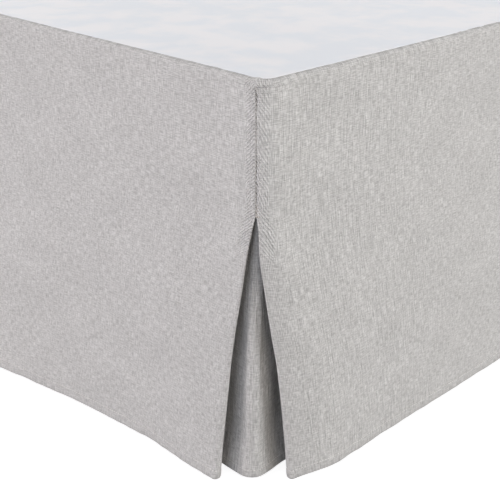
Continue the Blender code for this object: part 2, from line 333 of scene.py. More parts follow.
def new_object(name: str, points: Array, faces: Sequence[Sequence[int]]) -> bpy.types.Object:
    """Smooth-shaded mesh object.

    Args:
        name: name of the piece.
        points: its vertices.
        faces: its faces, as vertex numbers.

    Returns:
        The object, linked to the scene.
    """
    mesh = bpy.data.meshes.new(name)
    mesh.from_pydata(points.tolist(), [], faces)
    mesh.validate()
    mesh.shade_smooth()
    piece = bpy.data.objects.new(name, mesh)
    bpy.context.scene.collection.objects.link(piece)
    return piece


def add_map(piece: bpy.types.Object, name: str, places: Array) -> None:
    """Gives a mesh a UV map, in metres, from the flat place of each vertex."""
    layer = piece.data.uv_layers.new(name=name)
    corners = np.zeros(len(piece.data.loops), dtype=np.int32)
    piece.data.loops.foreach_get("vertex_index", corners)
    layer.data.foreach_set("uv", places[corners].astype(np.float32).ravel())


def closed_sheet(name: str, grid: Grid, thickness: Array) -> bpy.types.Object:
    """Closed sheet of cloth from its outer face.

    Args:
        name: name of the piece.
        grid: outer face.
        thickness: thickness at each point of the grid.

    Returns:
        The object, with the maps "Cloth" and "Seam".
    """
    rows, columns = grid.points.shape[:2]
    normals = grid_normals(grid.points) * grid.outward
    inner = grid.points - normals * thickness[..., None]
    count = rows * columns
    outer_id = np.arange(count).reshape(rows, columns)
    inner_id = outer_id + count

    def quads(a: Array, b: Array, c: Array, d: Array) -> Array:
        """Faces from four like arrays of corners, turned to face out."""
        corners = (a, b, c, d) if grid.outward > 0.0 else (d, c, b, a)
        return np.stack([corner.ravel() for corner in corners], axis=1)

    o, i = outer_id, inner_id
    faces = np.concatenate(
        (
            quads(o[:-1, :-1], o[:-1, 1:], o[1:, 1:], o[1:, :-1]),
            quads(i[:-1, :-1], i[1:, :-1], i[1:, 1:], i[:-1, 1:]),
            quads(o[:-1, 0], o[1:, 0], i[1:, 0], i[:-1, 0]),
            quads(o[:-1, -1], i[:-1, -1], i[1:, -1], o[1:, -1]),
            quads(o[0, :-1], i[0, :-1], i[0, 1:], o[0, 1:]),
            quads(o[-1, :-1], o[-1, 1:], i[-1, 1:], i[-1, :-1]),
        )
    )
    points = np.concatenate((grid.points.reshape(-1, 3), inner.reshape(-1, 3)))
    piece = new_object(name, points, faces.tolist())
    for label, places in (("Cloth", grid.cloth), ("Seam", grid.seam)):
        add_map(piece, label, np.tile(places.reshape(-1, 2), (2, 1)))
    return piece


def ring_faces(rings: int, sides: int, joined: bool = False) -> list[tuple[int, ...]]:
    """Faces between rings of points that follow one another.

    Args:
        rings: how many rings.
        sides: how many points in each.
        joined: True if the last ring meets the first; otherwise both ends are capped.

    Returns:
        The faces, as point numbers.
    """
    faces = []
    for ring in range(rings if joined else rings - 1):
        here, there = ring * sides, (ring + 1) % rings * sides
        faces += [(here + s, here + (s + 1) % sides, there + (s + 1) % sides, there + s) for s in range(sides)]
    if not joined:
        faces += [tuple(range(sides - 1, -1, -1)), tuple(range((rings - 1) * sides, rings * sides))]
    return faces


# A stitch's rings: place along it as a share of its length, swell as a share of its radius
STITCH_RINGS = ((-0.5, 0.35), (-0.36, 0.9), (0.0, 1.0), (0.36, 0.9), (0.5, 0.35))
STITCH_SIDES = 6


def threads(name: str, centres: Array, directions: Array, length: float, radius: float) -> bpy.types.Object:
    """One mesh of short plump stitches.

    Args:
        name: name of the piece.
        centres: middle of each stitch.
        directions: unit direction of each stitch.
        length: length of a stitch.
        radius: radius of the thread.

    Returns:
        The object, with a "Cloth" map that runs along each stitch.
    """
    helper = np.where(np.abs(directions[:, 2:]) < 0.8, (0.0, 0.0, 1.0), (1.0, 0.0, 0.0))
    first = unit(np.cross(directions, helper))
    second = np.cross(directions, first)
    points, maps = [], []
    for share, swell in STITCH_RINGS:
        middle = centres + directions * (share * length)
        for turn in 2.0 * math.pi * np.arange(STITCH_SIDES) / STITCH_SIDES:
            points.append(middle + (first * math.cos(turn) + second * math.sin(turn)) * (radius * swell))
            maps.append((share * length, turn * radius))
    stitch = ring_faces(len(STITCH_RINGS), STITCH_SIDES)
    faces = [tuple(v + k * len(maps) for v in face) for k in range(len(centres)) for face in stitch]
    piece = new_object(name, np.stack(points, axis=1).reshape(-1, 3), faces)
    add_map(piece, "Cloth", np.tile(np.array(maps), (len(centres), 1)))
    return piece


def stitches_along(name: str, line: Array, spacing: float, length: float, radius: float) -> bpy.types.Object:
    """Evenly spaced stitches along a line of points.

    Args:
        name: name of the piece.
        line: the line's points.
        spacing: distance from one stitch to the next.
        length: length of a stitch.
        radius: radius of the thread.

    Returns:
        The object.
    """
    lengths = walked(line)
    places = np.arange(0.5 * spacing, lengths[-1] - 0.4 * spacing, spacing)
    reach = 0.35 * spacing
    centres, ahead, astern = (
        np.stack([np.interp(places + shift, lengths, line[:, k]) for k in range(3)], axis=1)
        for shift in (0.0, reach, -reach)
    )
    return threads(name, centres, unit(ahead - astern), length, radius)


def lathe(profile: Sequence[tuple[float, float]], sides: int) -> tuple[Array, list[tuple[int, ...]]]:
    """Turned solid about the Z axis.

    Args:
        profile: (radius, height) rows from the bottom up.
        sides: how many sides.

    Returns:
        Its points and faces, closed at both ends.
    """
    turns = 2.0 * math.pi * np.arange(sides) / sides
    rings = [
        np.stack((radius * np.cos(turns), radius * np.sin(turns), np.full(sides, height)), axis=1)
        for radius, height in profile
    ]
    return np.concatenate(rings), ring_faces(len(profile), sides)


# ---------------------------------------------------------------------------------------------------------------
# Finishes
# ---------------------------------------------------------------------------------------------------------------


def linear(hex_colour: str) -> tuple[float, float, float, float]:
    """Linear colour, with full alpha, of an sRGB hex value such as "#c1bdbb"."""
    parts = [int(hex_colour[i : i + 2], 16) / 255.0 for i in (1, 3, 5)]
    red, green, blue = (c / 12.92 if c <= 0.04045 else ((c + 0.055) / 1.055) ** 2.4 for c in parts)
    return red, green, blue, 1.0


def add_node(
    tree: bpy.types.NodeTree,
    kind: str,
    settings: Mapping[str, Any] | None = None,
    inputs: Mapping[str | int, Any] | None = None,
) -> bpy.types.Node:
    """Adds a node with its settings and links.

    Args:
        tree: tree that gets the node.
        kind: type name of the node, without "ShaderNode".
        settings: the node's own settings.
        inputs: what each input gets, a value or an output socket to link.

    Returns:
        The new node.
    """
    node = tree.nodes.new("ShaderNode" + kind)
    for key, value in (settings or {}).items():
        setattr(node, key, value)
    for key, value in (inputs or {}).items():
        if isinstance(value, bpy.types.NodeSocket):
            tree.links.new(value, node.inputs[key])
        else:
            node.inputs[key].default_value = value
    return node


# A wave texture's bands repeat every 2 pi / 20 of its scaled coordinate.
BAND_SPAN = 2.0 * math.pi / 20.0


class Shader:
    """Material in the making: each method adds one node and gives that node's output."""

    def __init__(self, name: str, even: Mapping[str, Any]) -> None:
        """Makes the material.

        Args:
            name: its name.
            even: values that are the same all over, set on the Principled BSDF's own sockets.
        """
        self.material = bpy.data.materials.new(name)
        self.material.use_nodes = True
        self.tree = self.material.node_tree
        self.bsdf = self.tree.nodes["Principled BSDF"]
        for key, value in even.items():
            self.bsdf.inputs[key].default_value = value

    def join(self, links: Mapping[str, Socket]) -> bpy.types.Material:
        """Links sockets to the shader's inputs, and gives the finished material."""
        for key, socket in links.items():
            self.tree.links.new(socket, self.bsdf.inputs[key])
        return self.material

    def flat_map(self, name: str) -> Socket:
        """Place on a mesh's UV map, in metres."""
        return add_node(self.tree, "UVMap", {"uv_map": name}).outputs["UV"]

    def own_space(self) -> Socket:
        """Place in the object's own space."""
        return add_node(self.tree, "TexCoord").outputs["Object"]

    def calc(self, operation: str, *values: Socket | float, clamp: bool = False) -> Socket:
        """Result of a sum on one to three values."""
        settings = {"operation": operation, "use_clamp": clamp}
        return add_node(self.tree, "Math", settings, dict(enumerate(values))).outputs[0]

    def stretch(self, place: Socket, scale: Sequence[float]) -> Socket:
        """A place, scaled by its own amount on each axis."""
        return add_node(self.tree, "VectorMath", {"operation": "MULTIPLY"}, {0: place, 1: scale}).outputs[0]

    def remap(
        self, value: Socket, start: float, end: float, low: float = 0.0, high: float = 1.0, smooth: bool = False
    ) -> Socket:
        """Value carried from start..end to low..high, and held beyond them."""
        settings = {"interpolation_type": "SMOOTHSTEP" if smooth else "LINEAR"}
        inputs = {"Value": value, "From Min": start, "From Max": end, "To Min": low, "To Max": high}
        return add_node(self.tree, "MapRange", settings, inputs).outputs[0]

    def noise(
        self, place: Socket, scale: float, detail: float, dimensions: str = "2D", roughness: float = 0.5
    ) -> Socket:
        """Cloudy noise from 0 to 1, with scale clouds a metre."""
        inputs = {"Vector": place, "Scale": scale, "Detail": detail, "Roughness": roughness}
        return add_node(self.tree, "TexNoise", {"noise_dimensions": dimensions}, inputs).outputs["Fac"]

    def waves(self, place: Socket, spacing_mm: float, direction: str, more: Mapping[str, float]) -> Socket:
        """Bands from 0 to 1 at a spacing, across a direction."""
        settings = {"wave_type": "BANDS", "bands_direction": direction}
        inputs = {"Vector": place, "Scale": BAND_SPAN / (spacing_mm * MM), **more}
        return add_node(self.tree, "TexWave", settings, inputs).outputs["Fac"]

    def blend(self, share: Socket, first: Socket | str, second: Socket | str) -> Socket:
        """Colour between two that are given as sockets or sRGB hex values."""
        first, second = (linear(colour) if isinstance(colour, str) else colour for colour in (first, second))
        return add_node(self.tree, "Mix", {"data_type": "RGBA"}, {0: share, 6: first, 7: second}).outputs[2]

    def bump(self, height: Socket, depth_mm: float, strength: float = 1.0, under: Socket | None = None) -> Socket:
        """Normal of a relief, on top of the one under it."""
        inputs = {"Strength": strength, "Distance": depth_mm * MM, "Height": height}
        if under is not None:
            inputs["Normal"] = under
        return add_node(self.tree, "Bump", {}, inputs).outputs[0]


@dataclass(frozen=True)
class SlubbedCloth:
    """Linen-look plain weave of spun polyester and cotton, yarn-dyed light grey, pressed and left matte.

    The eye sees a fine, uneven grain of thick and thin threads both ways, a little lighter where a slub lies on top,
    and no shine. Near the corner seams the cloth is drawn into small slanting puckers.
    """

    name: str = "slubbed_plain_weave"
    light: str = "#d2d1cf"
    dark: str = "#a9a8a6"
    roughness: float = 0.88
    thread_mm: float = 1.4  # real threads lie about 0.6 mm apart; drawn coarser so that the grain shows
    slub_mm: tuple[float, float] = (0.9, 7.0)  # thickness and length of a slub
    upright_weight: float = 1.6  # the upright threads stand out more than the level ones
    weave_weight: float = 0.16  # how much the threads count beside the slubs
    grain_span: tuple[float, float] = (0.88, 1.52)  # grain that is all dark, and all light
    mottle_mm: float = 42.0
    mottle_tone: tuple[float, float] = (0.968, 1.025)
    hem_tone: float = 0.965  # the folded hem looks a little darker than the single cloth
    hem_edge_mm: tuple[float, float] = (10.6, 12.2)
    pucker_mm: float = 3.0  # spacing of the seam puckers up the seam
    pucker_slope: float = 1.0  # how far they fall for each step away from the seam
    pucker_bend: float = 8.0  # how much steeper they get along the side panel, per metre
    side_closeness: float = 0.64  # how close they lie on the side panel, beside the foot panel's
    wander_rate: float = 60.0  # how often they wander, per metre
    wander_mm: float = 5.0
    pucker_lift: float = 0.45  # the ridges are broader than the creases
    pucker_reach_mm: tuple[float, float] = (15.0, 9.0)  # distance from the seam where they are gone, and full
    pucker_heights_mm: tuple[float, float] = (225.0, 255.0)  # the same, by height above the hem
    rib_mm: tuple[float, float] = (1.5, 26.0)  # thickness and length of the side panels' upright ribs
    rib_contrast: float = 3.0
    rib_fades_mm: tuple[tuple[float, float], ...] = ((8.0, 22.0), (330.0, 120.0))  # none, and full, from the seam
    relief_painted_shading: tuple[float, float] = (0.25, 0.18)  # painted highlight on the crests and painted shade in the hollows of puckers and ribs, as shares lighter and darker
    # Painted shadow line of a short tuck under the top of the seam: its height, run, half width and darkness
    tuck_height: float = DROP - 5.8 * MM
    tuck_run_mm: tuple[float, float] = (6.0, 10.0)
    tuck_half_mm: tuple[float, float] = (0.2, 0.75)
    tuck_shadow_tone: float = 0.62
    bump_mm: tuple[float, float, float] = (0.27, 0.22, 0.32)  # puckers, ribs, grain

    def material(self) -> bpy.types.Material:
        """Builds the material, whose patterns lie on the maps "Cloth" and "Seam"."""
        even = {"Roughness": self.roughness, "IOR": 1.46, "Specular IOR Level": 0.25}
        shader = Shader(self.name, {**even, "Sheen Weight": 0.08, "Sheen Roughness": 0.55})
        cloth = shader.flat_map("Cloth")
        seam = add_node(shader.tree, "SeparateXYZ", {}, {0: shader.flat_map("Seam")})
        across, height = seam.outputs[0], seam.outputs[1]
        on_side = shader.calc("GREATER_THAN", across, 0.0)
        grain = self.grain(shader, cloth)
        puckers = self.puckers(shader, cloth, across, height, on_side)
        ribs = self.ribs(shader, cloth, across)
        mottle = shader.noise(cloth, 1.0 / (self.mottle_mm * MM), 2.0)
        tone = shader.remap(mottle, 0.3, 0.7, *self.mottle_tone)
        shades = [self.fade(shader, height, self.hem_edge_mm, self.hem_tone, 1.0)]
        # Painted highlight on the crests of the puckers and ribs and painted shade in their hollows, besides their
        # bump
        for relief, swing in zip((puckers, ribs), self.relief_painted_shading):
            shades.append(shader.remap(relief, -2.0, 2.0, 1.0 - swing, 1.0 + swing))
        # Painted shadow line of the tuck near the top of the seam
        shades.append(self.tuck(shader, across, height, on_side))
        for shade in shades:
            tone = shader.calc("MULTIPLY", tone, shade)
        colour = shader.blend(shader.remap(grain, *self.grain_span), self.dark, self.light)
        colour = add_node(shader.tree, "VectorMath", {"operation": "SCALE"}, {0: colour, 3: tone}).outputs[0]
        normal = None
        for relief, depth in zip((puckers, ribs, grain), self.bump_mm):
            normal = shader.bump(relief, depth, under=normal)
        return shader.join({"Base Color": colour, "Normal": normal})

    @staticmethod
    def fade(
        shader: Shader, value: Socket, span_mm: tuple[float, float], low: float = 0.0, high: float = 1.0
    ) -> Socket:
        """Soft step from low to high between two places in millimetres."""
        return shader.remap(value, span_mm[0] * MM, span_mm[1] * MM, low, high, smooth=True)

    def grain(self, shader: Shader, cloth: Socket) -> Socket:
        """Threads both ways, with slubs that lie along them."""
        uneven = {"Distortion": 1.6, "Detail": 1.0, "Detail Scale": 0.35}
        upright, level = (shader.waves(cloth, self.thread_mm, direction, uneven) for direction in ("X", "Y"))
        thin, long = (1.0 / (size * MM) for size in self.slub_mm)
        slubs = [
            shader.noise(shader.stretch(cloth, scale), 1.0, 1.0) for scale in ((thin, long, 1.0), (long, thin, 1.0))
        ]
        weave = shader.calc("MULTIPLY_ADD", upright, self.upright_weight, level)
        return shader.calc("MULTIPLY_ADD", weave, self.weave_weight, shader.calc("ADD", *slubs))

    def puckers(self, shader: Shader, cloth: Socket, across: Socket, height: Socket, on_side: Socket) -> Socket:
        """Puckers down and away from the seam: straight on the foot panel, ever steeper on the side panel.

        Args:
            shader: material in the making.
            cloth: place on the flat cloth.
            across: distance from the seam, negative on the foot panel.
            height: height above the hem.
            on_side: 1 on a side panel, and 0 on the foot panel.

        Returns:
            Their relief.
        """
        distance = shader.calc("ABSOLUTE", across)
        beside = shader.calc("MAXIMUM", across, 0.0)
        rate = shader.calc("MULTIPLY_ADD", on_side, self.side_closeness - 1.0, 1.0)
        phase = shader.calc("MULTIPLY_ADD", distance, self.pucker_slope, shader.calc("MULTIPLY", height, rate))
        phase = shader.calc("MULTIPLY_ADD", shader.calc("MULTIPLY", beside, beside), self.pucker_bend, phase)
        wander = shader.noise(cloth, self.wander_rate, 1.0)
        phase = shader.calc("MULTIPLY_ADD", wander, self.wander_mm * MM, phase)
        ridge = shader.calc("SINE", shader.calc("MULTIPLY", phase, 2.0 * math.pi / (self.pucker_mm * MM)))
        ridge = shader.calc("ADD", ridge, self.pucker_lift)
        for value, span in ((distance, self.pucker_reach_mm), (height, self.pucker_heights_mm)):
            ridge = shader.calc("MULTIPLY", ridge, self.fade(shader, value, span))
        return ridge

    def ribs(self, shader: Shader, cloth: Socket, across: Socket) -> Socket:
        """Relief of the upright ribs, where the side panel's cloth hangs a little fuller than its seam."""
        thin, long = (1.0 / (size * MM) for size in self.rib_mm)
        rib = shader.noise(shader.stretch(cloth, (thin, long, 1.0)), 1.0, 0.0)
        rib = shader.calc("MULTIPLY_ADD", rib, self.rib_contrast, -0.5 * self.rib_contrast)
        for span in self.rib_fades_mm:
            rib = shader.calc("MULTIPLY", rib, self.fade(shader, across, span))
        return rib

    def tuck(self, shader: Shader, across: Socket, height: Socket, on_side: Socket) -> Socket:
        """Painted shadow line of the short tuck that lies across the side panel just under the top of the seam."""
        run = shader.calc("MULTIPLY", self.fade(shader, across, self.tuck_run_mm, 1.0, 0.0), on_side)
        off = shader.calc("ABSOLUTE", shader.calc("SUBTRACT", height, self.tuck_height))
        line = shader.calc("MULTIPLY", run, self.fade(shader, off, self.tuck_half_mm, 1.0, 0.0))
        return shader.remap(line, 0.0, 1.0, 1.0, self.tuck_shadow_tone)


@dataclass(frozen=True)
class BrushedSheeting:
    """White polyester microfibre sheeting, woven fine and lightly brushed.

    The eye sees a smooth, cool white with faint clouds where the nap lies different ways.
    """

    name: str = "brushed_white_sheeting"
    white: str = "#eeeef0"
    shade: str = "#e5e9ee"
    cloud_mm: float = 46.0
    thread_mm: float = 1.4  # real threads lie about 0.3 mm apart; drawn coarser so that a grain shows
    nap_mm: float = 0.12
    roughness: float = 0.8

    def material(self) -> bpy.types.Material:
        """Builds the material, whose patterns lie on the map "Cloth"."""
        even = {"Roughness": self.roughness, "IOR": 1.5, "Specular IOR Level": 0.25, "Sheen Weight": 0.15}
        shader = Shader(self.name, even)
        cloth = shader.flat_map("Cloth")
        clouds = shader.noise(cloth, 1.0 / (self.cloud_mm * MM), 3.0, roughness=0.55)
        colour = shader.blend(shader.remap(clouds, 0.38, 0.62), self.shade, self.white)
        nap = shader.noise(cloth, 1.0 / (self.thread_mm * MM), 1.0)
        return shader.join({"Base Color": colour, "Normal": shader.bump(nap, self.nap_mm, 0.5)})


@dataclass(frozen=True)
class SpunThread:
    """Spun polyester sewing thread, two plies twisted, dyed to match the cloth.

    The eye sees small round dashes, a shade lighter than the cloth, with a faint slanting twist.
    """

    name: str = "spun_sewing_thread"
    light: str = "#e9e7e4"
    dark: str = "#cfccc9"
    twist_mm: float = 0.5
    ply_mm: float = 0.08  # how deep the groove between the plies is
    roughness: float = 0.6

    def material(self) -> bpy.types.Material:
        """Builds the material, whose twist lies on the map "Cloth"."""
        even = {"Roughness": self.roughness, "IOR": 1.5, "Specular IOR Level": 0.4, "Sheen Weight": 0.2}
        shader = Shader(self.name, even)
        twist = shader.waves(shader.flat_map("Cloth"), self.twist_mm, "DIAGONAL", {})
        colour = shader.blend(twist, self.dark, self.light)
        return shader.join({"Base Color": colour, "Normal": shader.bump(twist, self.ply_mm, 0.6)})


@dataclass(frozen=True)
class BaseCanvas:
    """Undyed cotton canvas, woven plain and drawn tight over the bed base.

    The eye sees an off-white, even basket of threads with a few darker specks of seed husk.
    """

    name: str = "undyed_cotton_canvas"
    light: str = "#dbd8cf"
    dark: str = "#c2beb2"
    thread_mm: float = 2.4  # real threads lie about 0.8 mm apart; drawn coarser so that the weave shows
    speck_rate: float = 160.0  # clouds of specks a metre
    weave_mm: float = 0.3
    roughness: float = 0.85

    def material(self) -> bpy.types.Material:
        """Builds the material, whose weave lies on the map "Cloth"."""
        even = {"Roughness": self.roughness, "IOR": 1.5, "Specular IOR Level": 0.3, "Sheen Weight": 0.05}
        shader = Shader(self.name, even)
        cloth = shader.flat_map("Cloth")
        uneven = {"Distortion": 0.8, "Detail": 1.0}
        warp, weft = (shader.waves(cloth, self.thread_mm, direction, uneven) for direction in ("X", "Y"))
        basket = shader.calc("MULTIPLY", warp, weft)
        clear_of_specks = shader.remap(shader.noise(cloth, self.speck_rate, 2.0), 0.22, 0.36)
        share = shader.calc("MULTIPLY_ADD", basket, 0.6, 0.35, clamp=True)
        colour = shader.blend(shader.calc("MULTIPLY", share, clear_of_specks), self.dark, self.light)
        return shader.join({"Base Color": colour, "Normal": shader.bump(basket, self.weave_mm, 0.5)})


@dataclass(frozen=True)
class LacqueredBeech:
    """Steamed beech, turned on a lathe and sprayed with satin lacquer.

    The eye sees a warm pinkish brown with fine grain along the leg and the short dark flecks of beech.
    """

    name: str = "lacquered_beech"
    light: str = "#c79f78"
    dark: str = "#a87e58"
    fleck: str = "#7d5a3c"
    grain_mm: float = 7.0
    grain_stretch: float = 0.08
    fleck_mm: tuple[float, float] = (0.7, 6.0)
    pore_mm: float = 0.1
    roughness: float = 0.38

    def material(self) -> bpy.types.Material:
        """Builds the material, whose grain runs along Z in the leg's own space."""
        even = {"Roughness": self.roughness, "IOR": 1.5, "Coat Weight": 0.35, "Coat Roughness": 0.25}
        shader = Shader(self.name, even)
        place = shader.own_space()
        across = 1.0 / (self.grain_mm * MM)
        grain = shader.stretch(place, (across, across, self.grain_stretch * across))
        grain = shader.noise(grain, 1.0, 4.0, "3D")
        thin, long = (1.0 / (size * MM) for size in self.fleck_mm)
        flecks = shader.noise(shader.stretch(place, (thin, thin, long)), 1.0, 1.0, "3D")
        colour = shader.blend(shader.remap(grain, 0.35, 0.65), self.dark, self.light)
        colour = shader.blend(shader.remap(flecks, 0.64, 0.72, 0.0, 0.55), colour, self.fleck)
        return shader.join({"Base Color": colour, "Normal": shader.bump(grain, self.pore_mm, 0.3)})


@dataclass(frozen=True)
class MouldedGlide:
    """Black polyethylene furniture glide, injection moulded with a fine spark-eroded texture.

    The eye sees a dull black disc, a little lighter where the floor has scuffed its rim.
    """

    name: str = "moulded_polyethylene"
    black: str = "#26262a"
    scuffed: str = "#4a4a4e"
    grit_mm: float = 0.6
    grit_depth_mm: float = 0.05
    scuff_rate: float = 90.0
    roughness: float = 0.55

    def material(self) -> bpy.types.Material:
        """Builds the material in the glide's own space."""
        shader = Shader(self.name, {"Roughness": self.roughness, "IOR": 1.51})
        place = shader.own_space()
        grit = shader.noise(place, 1.0 / (self.grit_mm * MM), 2.0, "3D")
        worn = shader.remap(shader.noise(place, self.scuff_rate, 3.0, "3D"), 0.55, 0.75)
        colour = shader.blend(worn, self.black, self.scuffed)
        return shader.join({"Base Color": colour, "Normal": shader.bump(grit, self.grit_depth_mm, 0.3)})


@dataclass(frozen=True)
class StudioPaper:
    """Seamless white studio paper, matte and lit so evenly that it reads as plain white."""

    name: str = "white_studio_paper"
    white: str = "#a6a6a6"
    fibre: str = "#a2a2a2"
    fibre_rate: float = 3.0
    glow: float = 0.9
    roughness: float = 0.95

    def material(self) -> bpy.types.Material:
        """Builds the material, with faint fibre clouds and its even lift of light."""
        shader = Shader(self.name, {"Roughness": self.roughness, "Emission Color": linear("#ffffff")})
        seen = add_node(shader.tree, "LightPath").outputs["Is Camera Ray"]
        fibres = shader.noise(shader.own_space(), self.fibre_rate, 2.0, "3D")
        colour = shader.blend(fibres, self.white, self.fibre)
        return shader.join({"Base Color": colour, "Emission Strength": shader.calc("MULTIPLY", seen, self.glow)})


@dataclass
class Finishes:
    """The materials, each made once."""

    skirt: bpy.types.Material = field(default_factory=lambda: SlubbedCloth().material())
    deck: bpy.types.Material = field(default_factory=lambda: BrushedSheeting().material())
    thread: bpy.types.Material = field(default_factory=lambda: SpunThread().material())
    seam_thread: bpy.types.Material = field(
        default_factory=lambda: SpunThread("spun_seam_thread", "#cbc5be", "#a8a199").material()
    )
    canvas: bpy.types.Material = field(default_factory=lambda: BaseCanvas().material())
    beech: bpy.types.Material = field(default_factory=lambda: LacqueredBeech().material())
    glide: bpy.types.Material = field(default_factory=lambda: MouldedGlide().material())
    paper: bpy.types.Material = field(default_factory=lambda: StudioPaper().material())


# ---------------------------------------------------------------------------------------------------------------
# Frame and hanging shape
# ---------------------------------------------------------------------------------------------------------------


@dataclass(frozen=True)
class Layout:
    """Planes that the skirt hangs in, worked out from the deck's node."""

    right: float
    left: float
    foot: float
    head: float
    hem: float
    top: float

    @classmethod
    def from_frame(cls) -> "Layout":
        """Reads the deck's box; the panels' planes lie one lap outside it."""
        low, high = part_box("deck")
        return cls(high.x + DECK_LAP, low.x - DECK_LAP, low.y - DECK_LAP, high.y, high.z - DROP, high.z)

    @property
    def width(self) -> float:
        """Distance between the two side planes."""
        return self.right - self.left

    @property
    def length(self) -> float:
        """Distance from the foot plane to the head edge."""
        return self.head - self.foot

    def world(self, side: Side, along: Array, back: Array, height: Array) -> Array:
        """Points in the frame from distances at a foot corner.

        Args:
            side: which foot corner.
            along: distance from the corner along the foot.
            back: distance from the corner along the side.
            height: height above the hem.

        Returns:
            The points, one more axis of length 3.
        """
        x = self.right - along if side is Side.RIGHT else self.left + along
        return np.stack(np.broadcast_arrays(x, self.foot + back, self.hem + height), axis=-1)


class PleatShape:
    """Where the folded edges and the underlay of a kick pleat lie at each height."""

    top_step = 0.8 * MM  # half the height in which the folds close over at the seam's upper end
    apex_step = 1.0 * MM  # half the height in which they part at its lower end
    closed_lap = 0.1 * MM  # how far they reach past each other's rim above the seam
    seam_inset = (0.2 * MM, 0.05 * MM)  # seam line from the foot fold's and the side fold's rim

    def __init__(self) -> None:
        """Fits smooth curves through the sections."""
        self.foot_fold, self.side_back, self.side_along, self.curl_length = (
            Profile(PLEAT_SECTIONS, column) for column in (1, 2, 3, 4)
        )
        self.curl_power = Profile(PLEAT_SECTIONS, 5, 1.0)
        self.behind_foot, self.behind_side, self.recess, self.soft_corner = (
            Profile(UNDERLAY_SECTIONS, column) for column in (1, 2, 3, 4)
        )

    def fold_radius(self, height: float) -> float:
        """Radius of the folded edges, tight where the seam holds them and rounder at the hem."""
        openness = max(0.0, 1.0 - height / APEX)
        return FOLD_RADIUS_CLOSED + (FOLD_RADIUS_HEM - FOLD_RADIUS_CLOSED) * openness

    def overlap(self, height: float) -> float:
        """How far each folded edge reaches past the seam line, most above the seam's upper end."""
        closed = float(ramp(np.array(height - (DROP - SEAM_TOP)), -self.top_step, self.top_step))
        parted = float(ramp(np.array(APEX - height), -self.apex_step, self.apex_step))
        return (SEAM_OVERLAP + (FOLD_RADIUS_CLOSED + self.closed_lap - SEAM_OVERLAP) * closed) * (1.0 - parted)

    def seam_place(self) -> tuple[Array, Array]:
        """Seam line in plan, as (along, back), and the direction that faces out there."""
        place = np.array((float(self.foot_fold(APEX)), float(self.side_back(APEX)))) - self.seam_inset
        outward = unit(place - CORNER_RADIUS)
        return CORNER_RADIUS + outward * CORNER_RADIUS, outward


def hang(height: float) -> float:
    """Share of a wave's depth at the hem that is left at a height above it."""
    return max(0.0, 1.0 - height / DROP) ** FLARE_POWER


@dataclass(kw_only=True)
class SubAssembly(ABC):
    """A part of the bed skirt that builds its meshes, then dresses them."""

    pieces: list[bpy.types.Object] = field(default_factory=list)

    @abstractmethod
    def build(self) -> list[bpy.types.Object]:
        """Makes the part's pieces."""

    @abstractmethod
    def dress(self, finishes: Finishes) -> None:
        """Gives the pieces their finishes and their places in the frame."""


def attach(piece: bpy.types.Object, material: bpy.types.Material, slot: str, *nodes: str) -> None:
    """Dresses a piece and ties it to the frame.

    Args:
        piece: piece to dress.
        material: its finish.
        slot: name of its material slot; not used.
        nodes: CAD nodes that the piece stands for.
    """
    piece.data.materials.clear()
    piece.data.materials.append(material)
    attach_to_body(piece, BODY)
    if nodes:
        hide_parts(*nodes)


# ---------------------------------------------------------------------------------------------------------------
# Drop panels
# ---------------------------------------------------------------------------------------------------------------


@dataclass(frozen=True)
class Dent:
    """Soft hollow, or with a negative depth a swelling, in a panel: sizes in millimetres."""

    across: float
    height: float
    half_across: float
    half_height: float
    depth: float
    lean: float = 0.0

    def __call__(self, across: Array, height: Array) -> Array:
        """Depth at places on the panel."""
        up = height / MM - self.height
        side = across / MM - self.across - self.lean * up
        return self.depth * MM * np.exp(-((side / self.half_across) ** 2) - (up / self.half_height) ** 2)


FOOT_DENTS = (
    Dent(8.5, 330.0, 4.2, 60.0, 0.42),
    Dent(2.6, 325.0, 2.4, 62.0, -0.28),
    Dent(9.0, 376.0, 7.0, 4.5, 0.5),
    Dent(92.0, 170.0, 30.0, 120.0, -1.3),
    Dent(150.0, 205.0, 20.0, 90.0, 0.8, 0.1),
    Dent(276.0, 130.0, 46.0, 70.0, -1.4),
    Dent(215.0, 320.0, 44.0, 40.0, 0.9, 0.6),
    Dent(40.0, 120.0, 26.0, 60.0, 0.6),
)
RIGHT_DENTS = (
    Dent(10.0, 325.0, 6.5, 64.0, 0.55),
    Dent(2.6, 325.0, 2.3, 62.0, -0.25),
    Dent(12.0, 369.0, 9.0, 5.0, 1.5),
    Dent(7.0, 376.0, 8.0, 3.0, -0.35),
    Dent(42.0, 306.0, 34.0, 20.0, 0.9, 1.2),
    Dent(242.0, 208.0, 30.0, 40.0, -1.2),
    Dent(180.0, 130.0, 34.0, 40.0, 1.0),
    Dent(264.0, 52.0, 36.0, 26.0, 1.0),
    Dent(300.0, 356.0, 50.0, 30.0, -0.8),
)
LEFT_DENTS = (
    Dent(9.0, 325.0, 6.0, 64.0, 0.5),
    Dent(2.6, 325.0, 2.3, 62.0, -0.25),
    Dent(130.0, 150.0, 40.0, 90.0, 1.1),
    Dent(340.0, 220.0, 60.0, 60.0, -1.2),
)


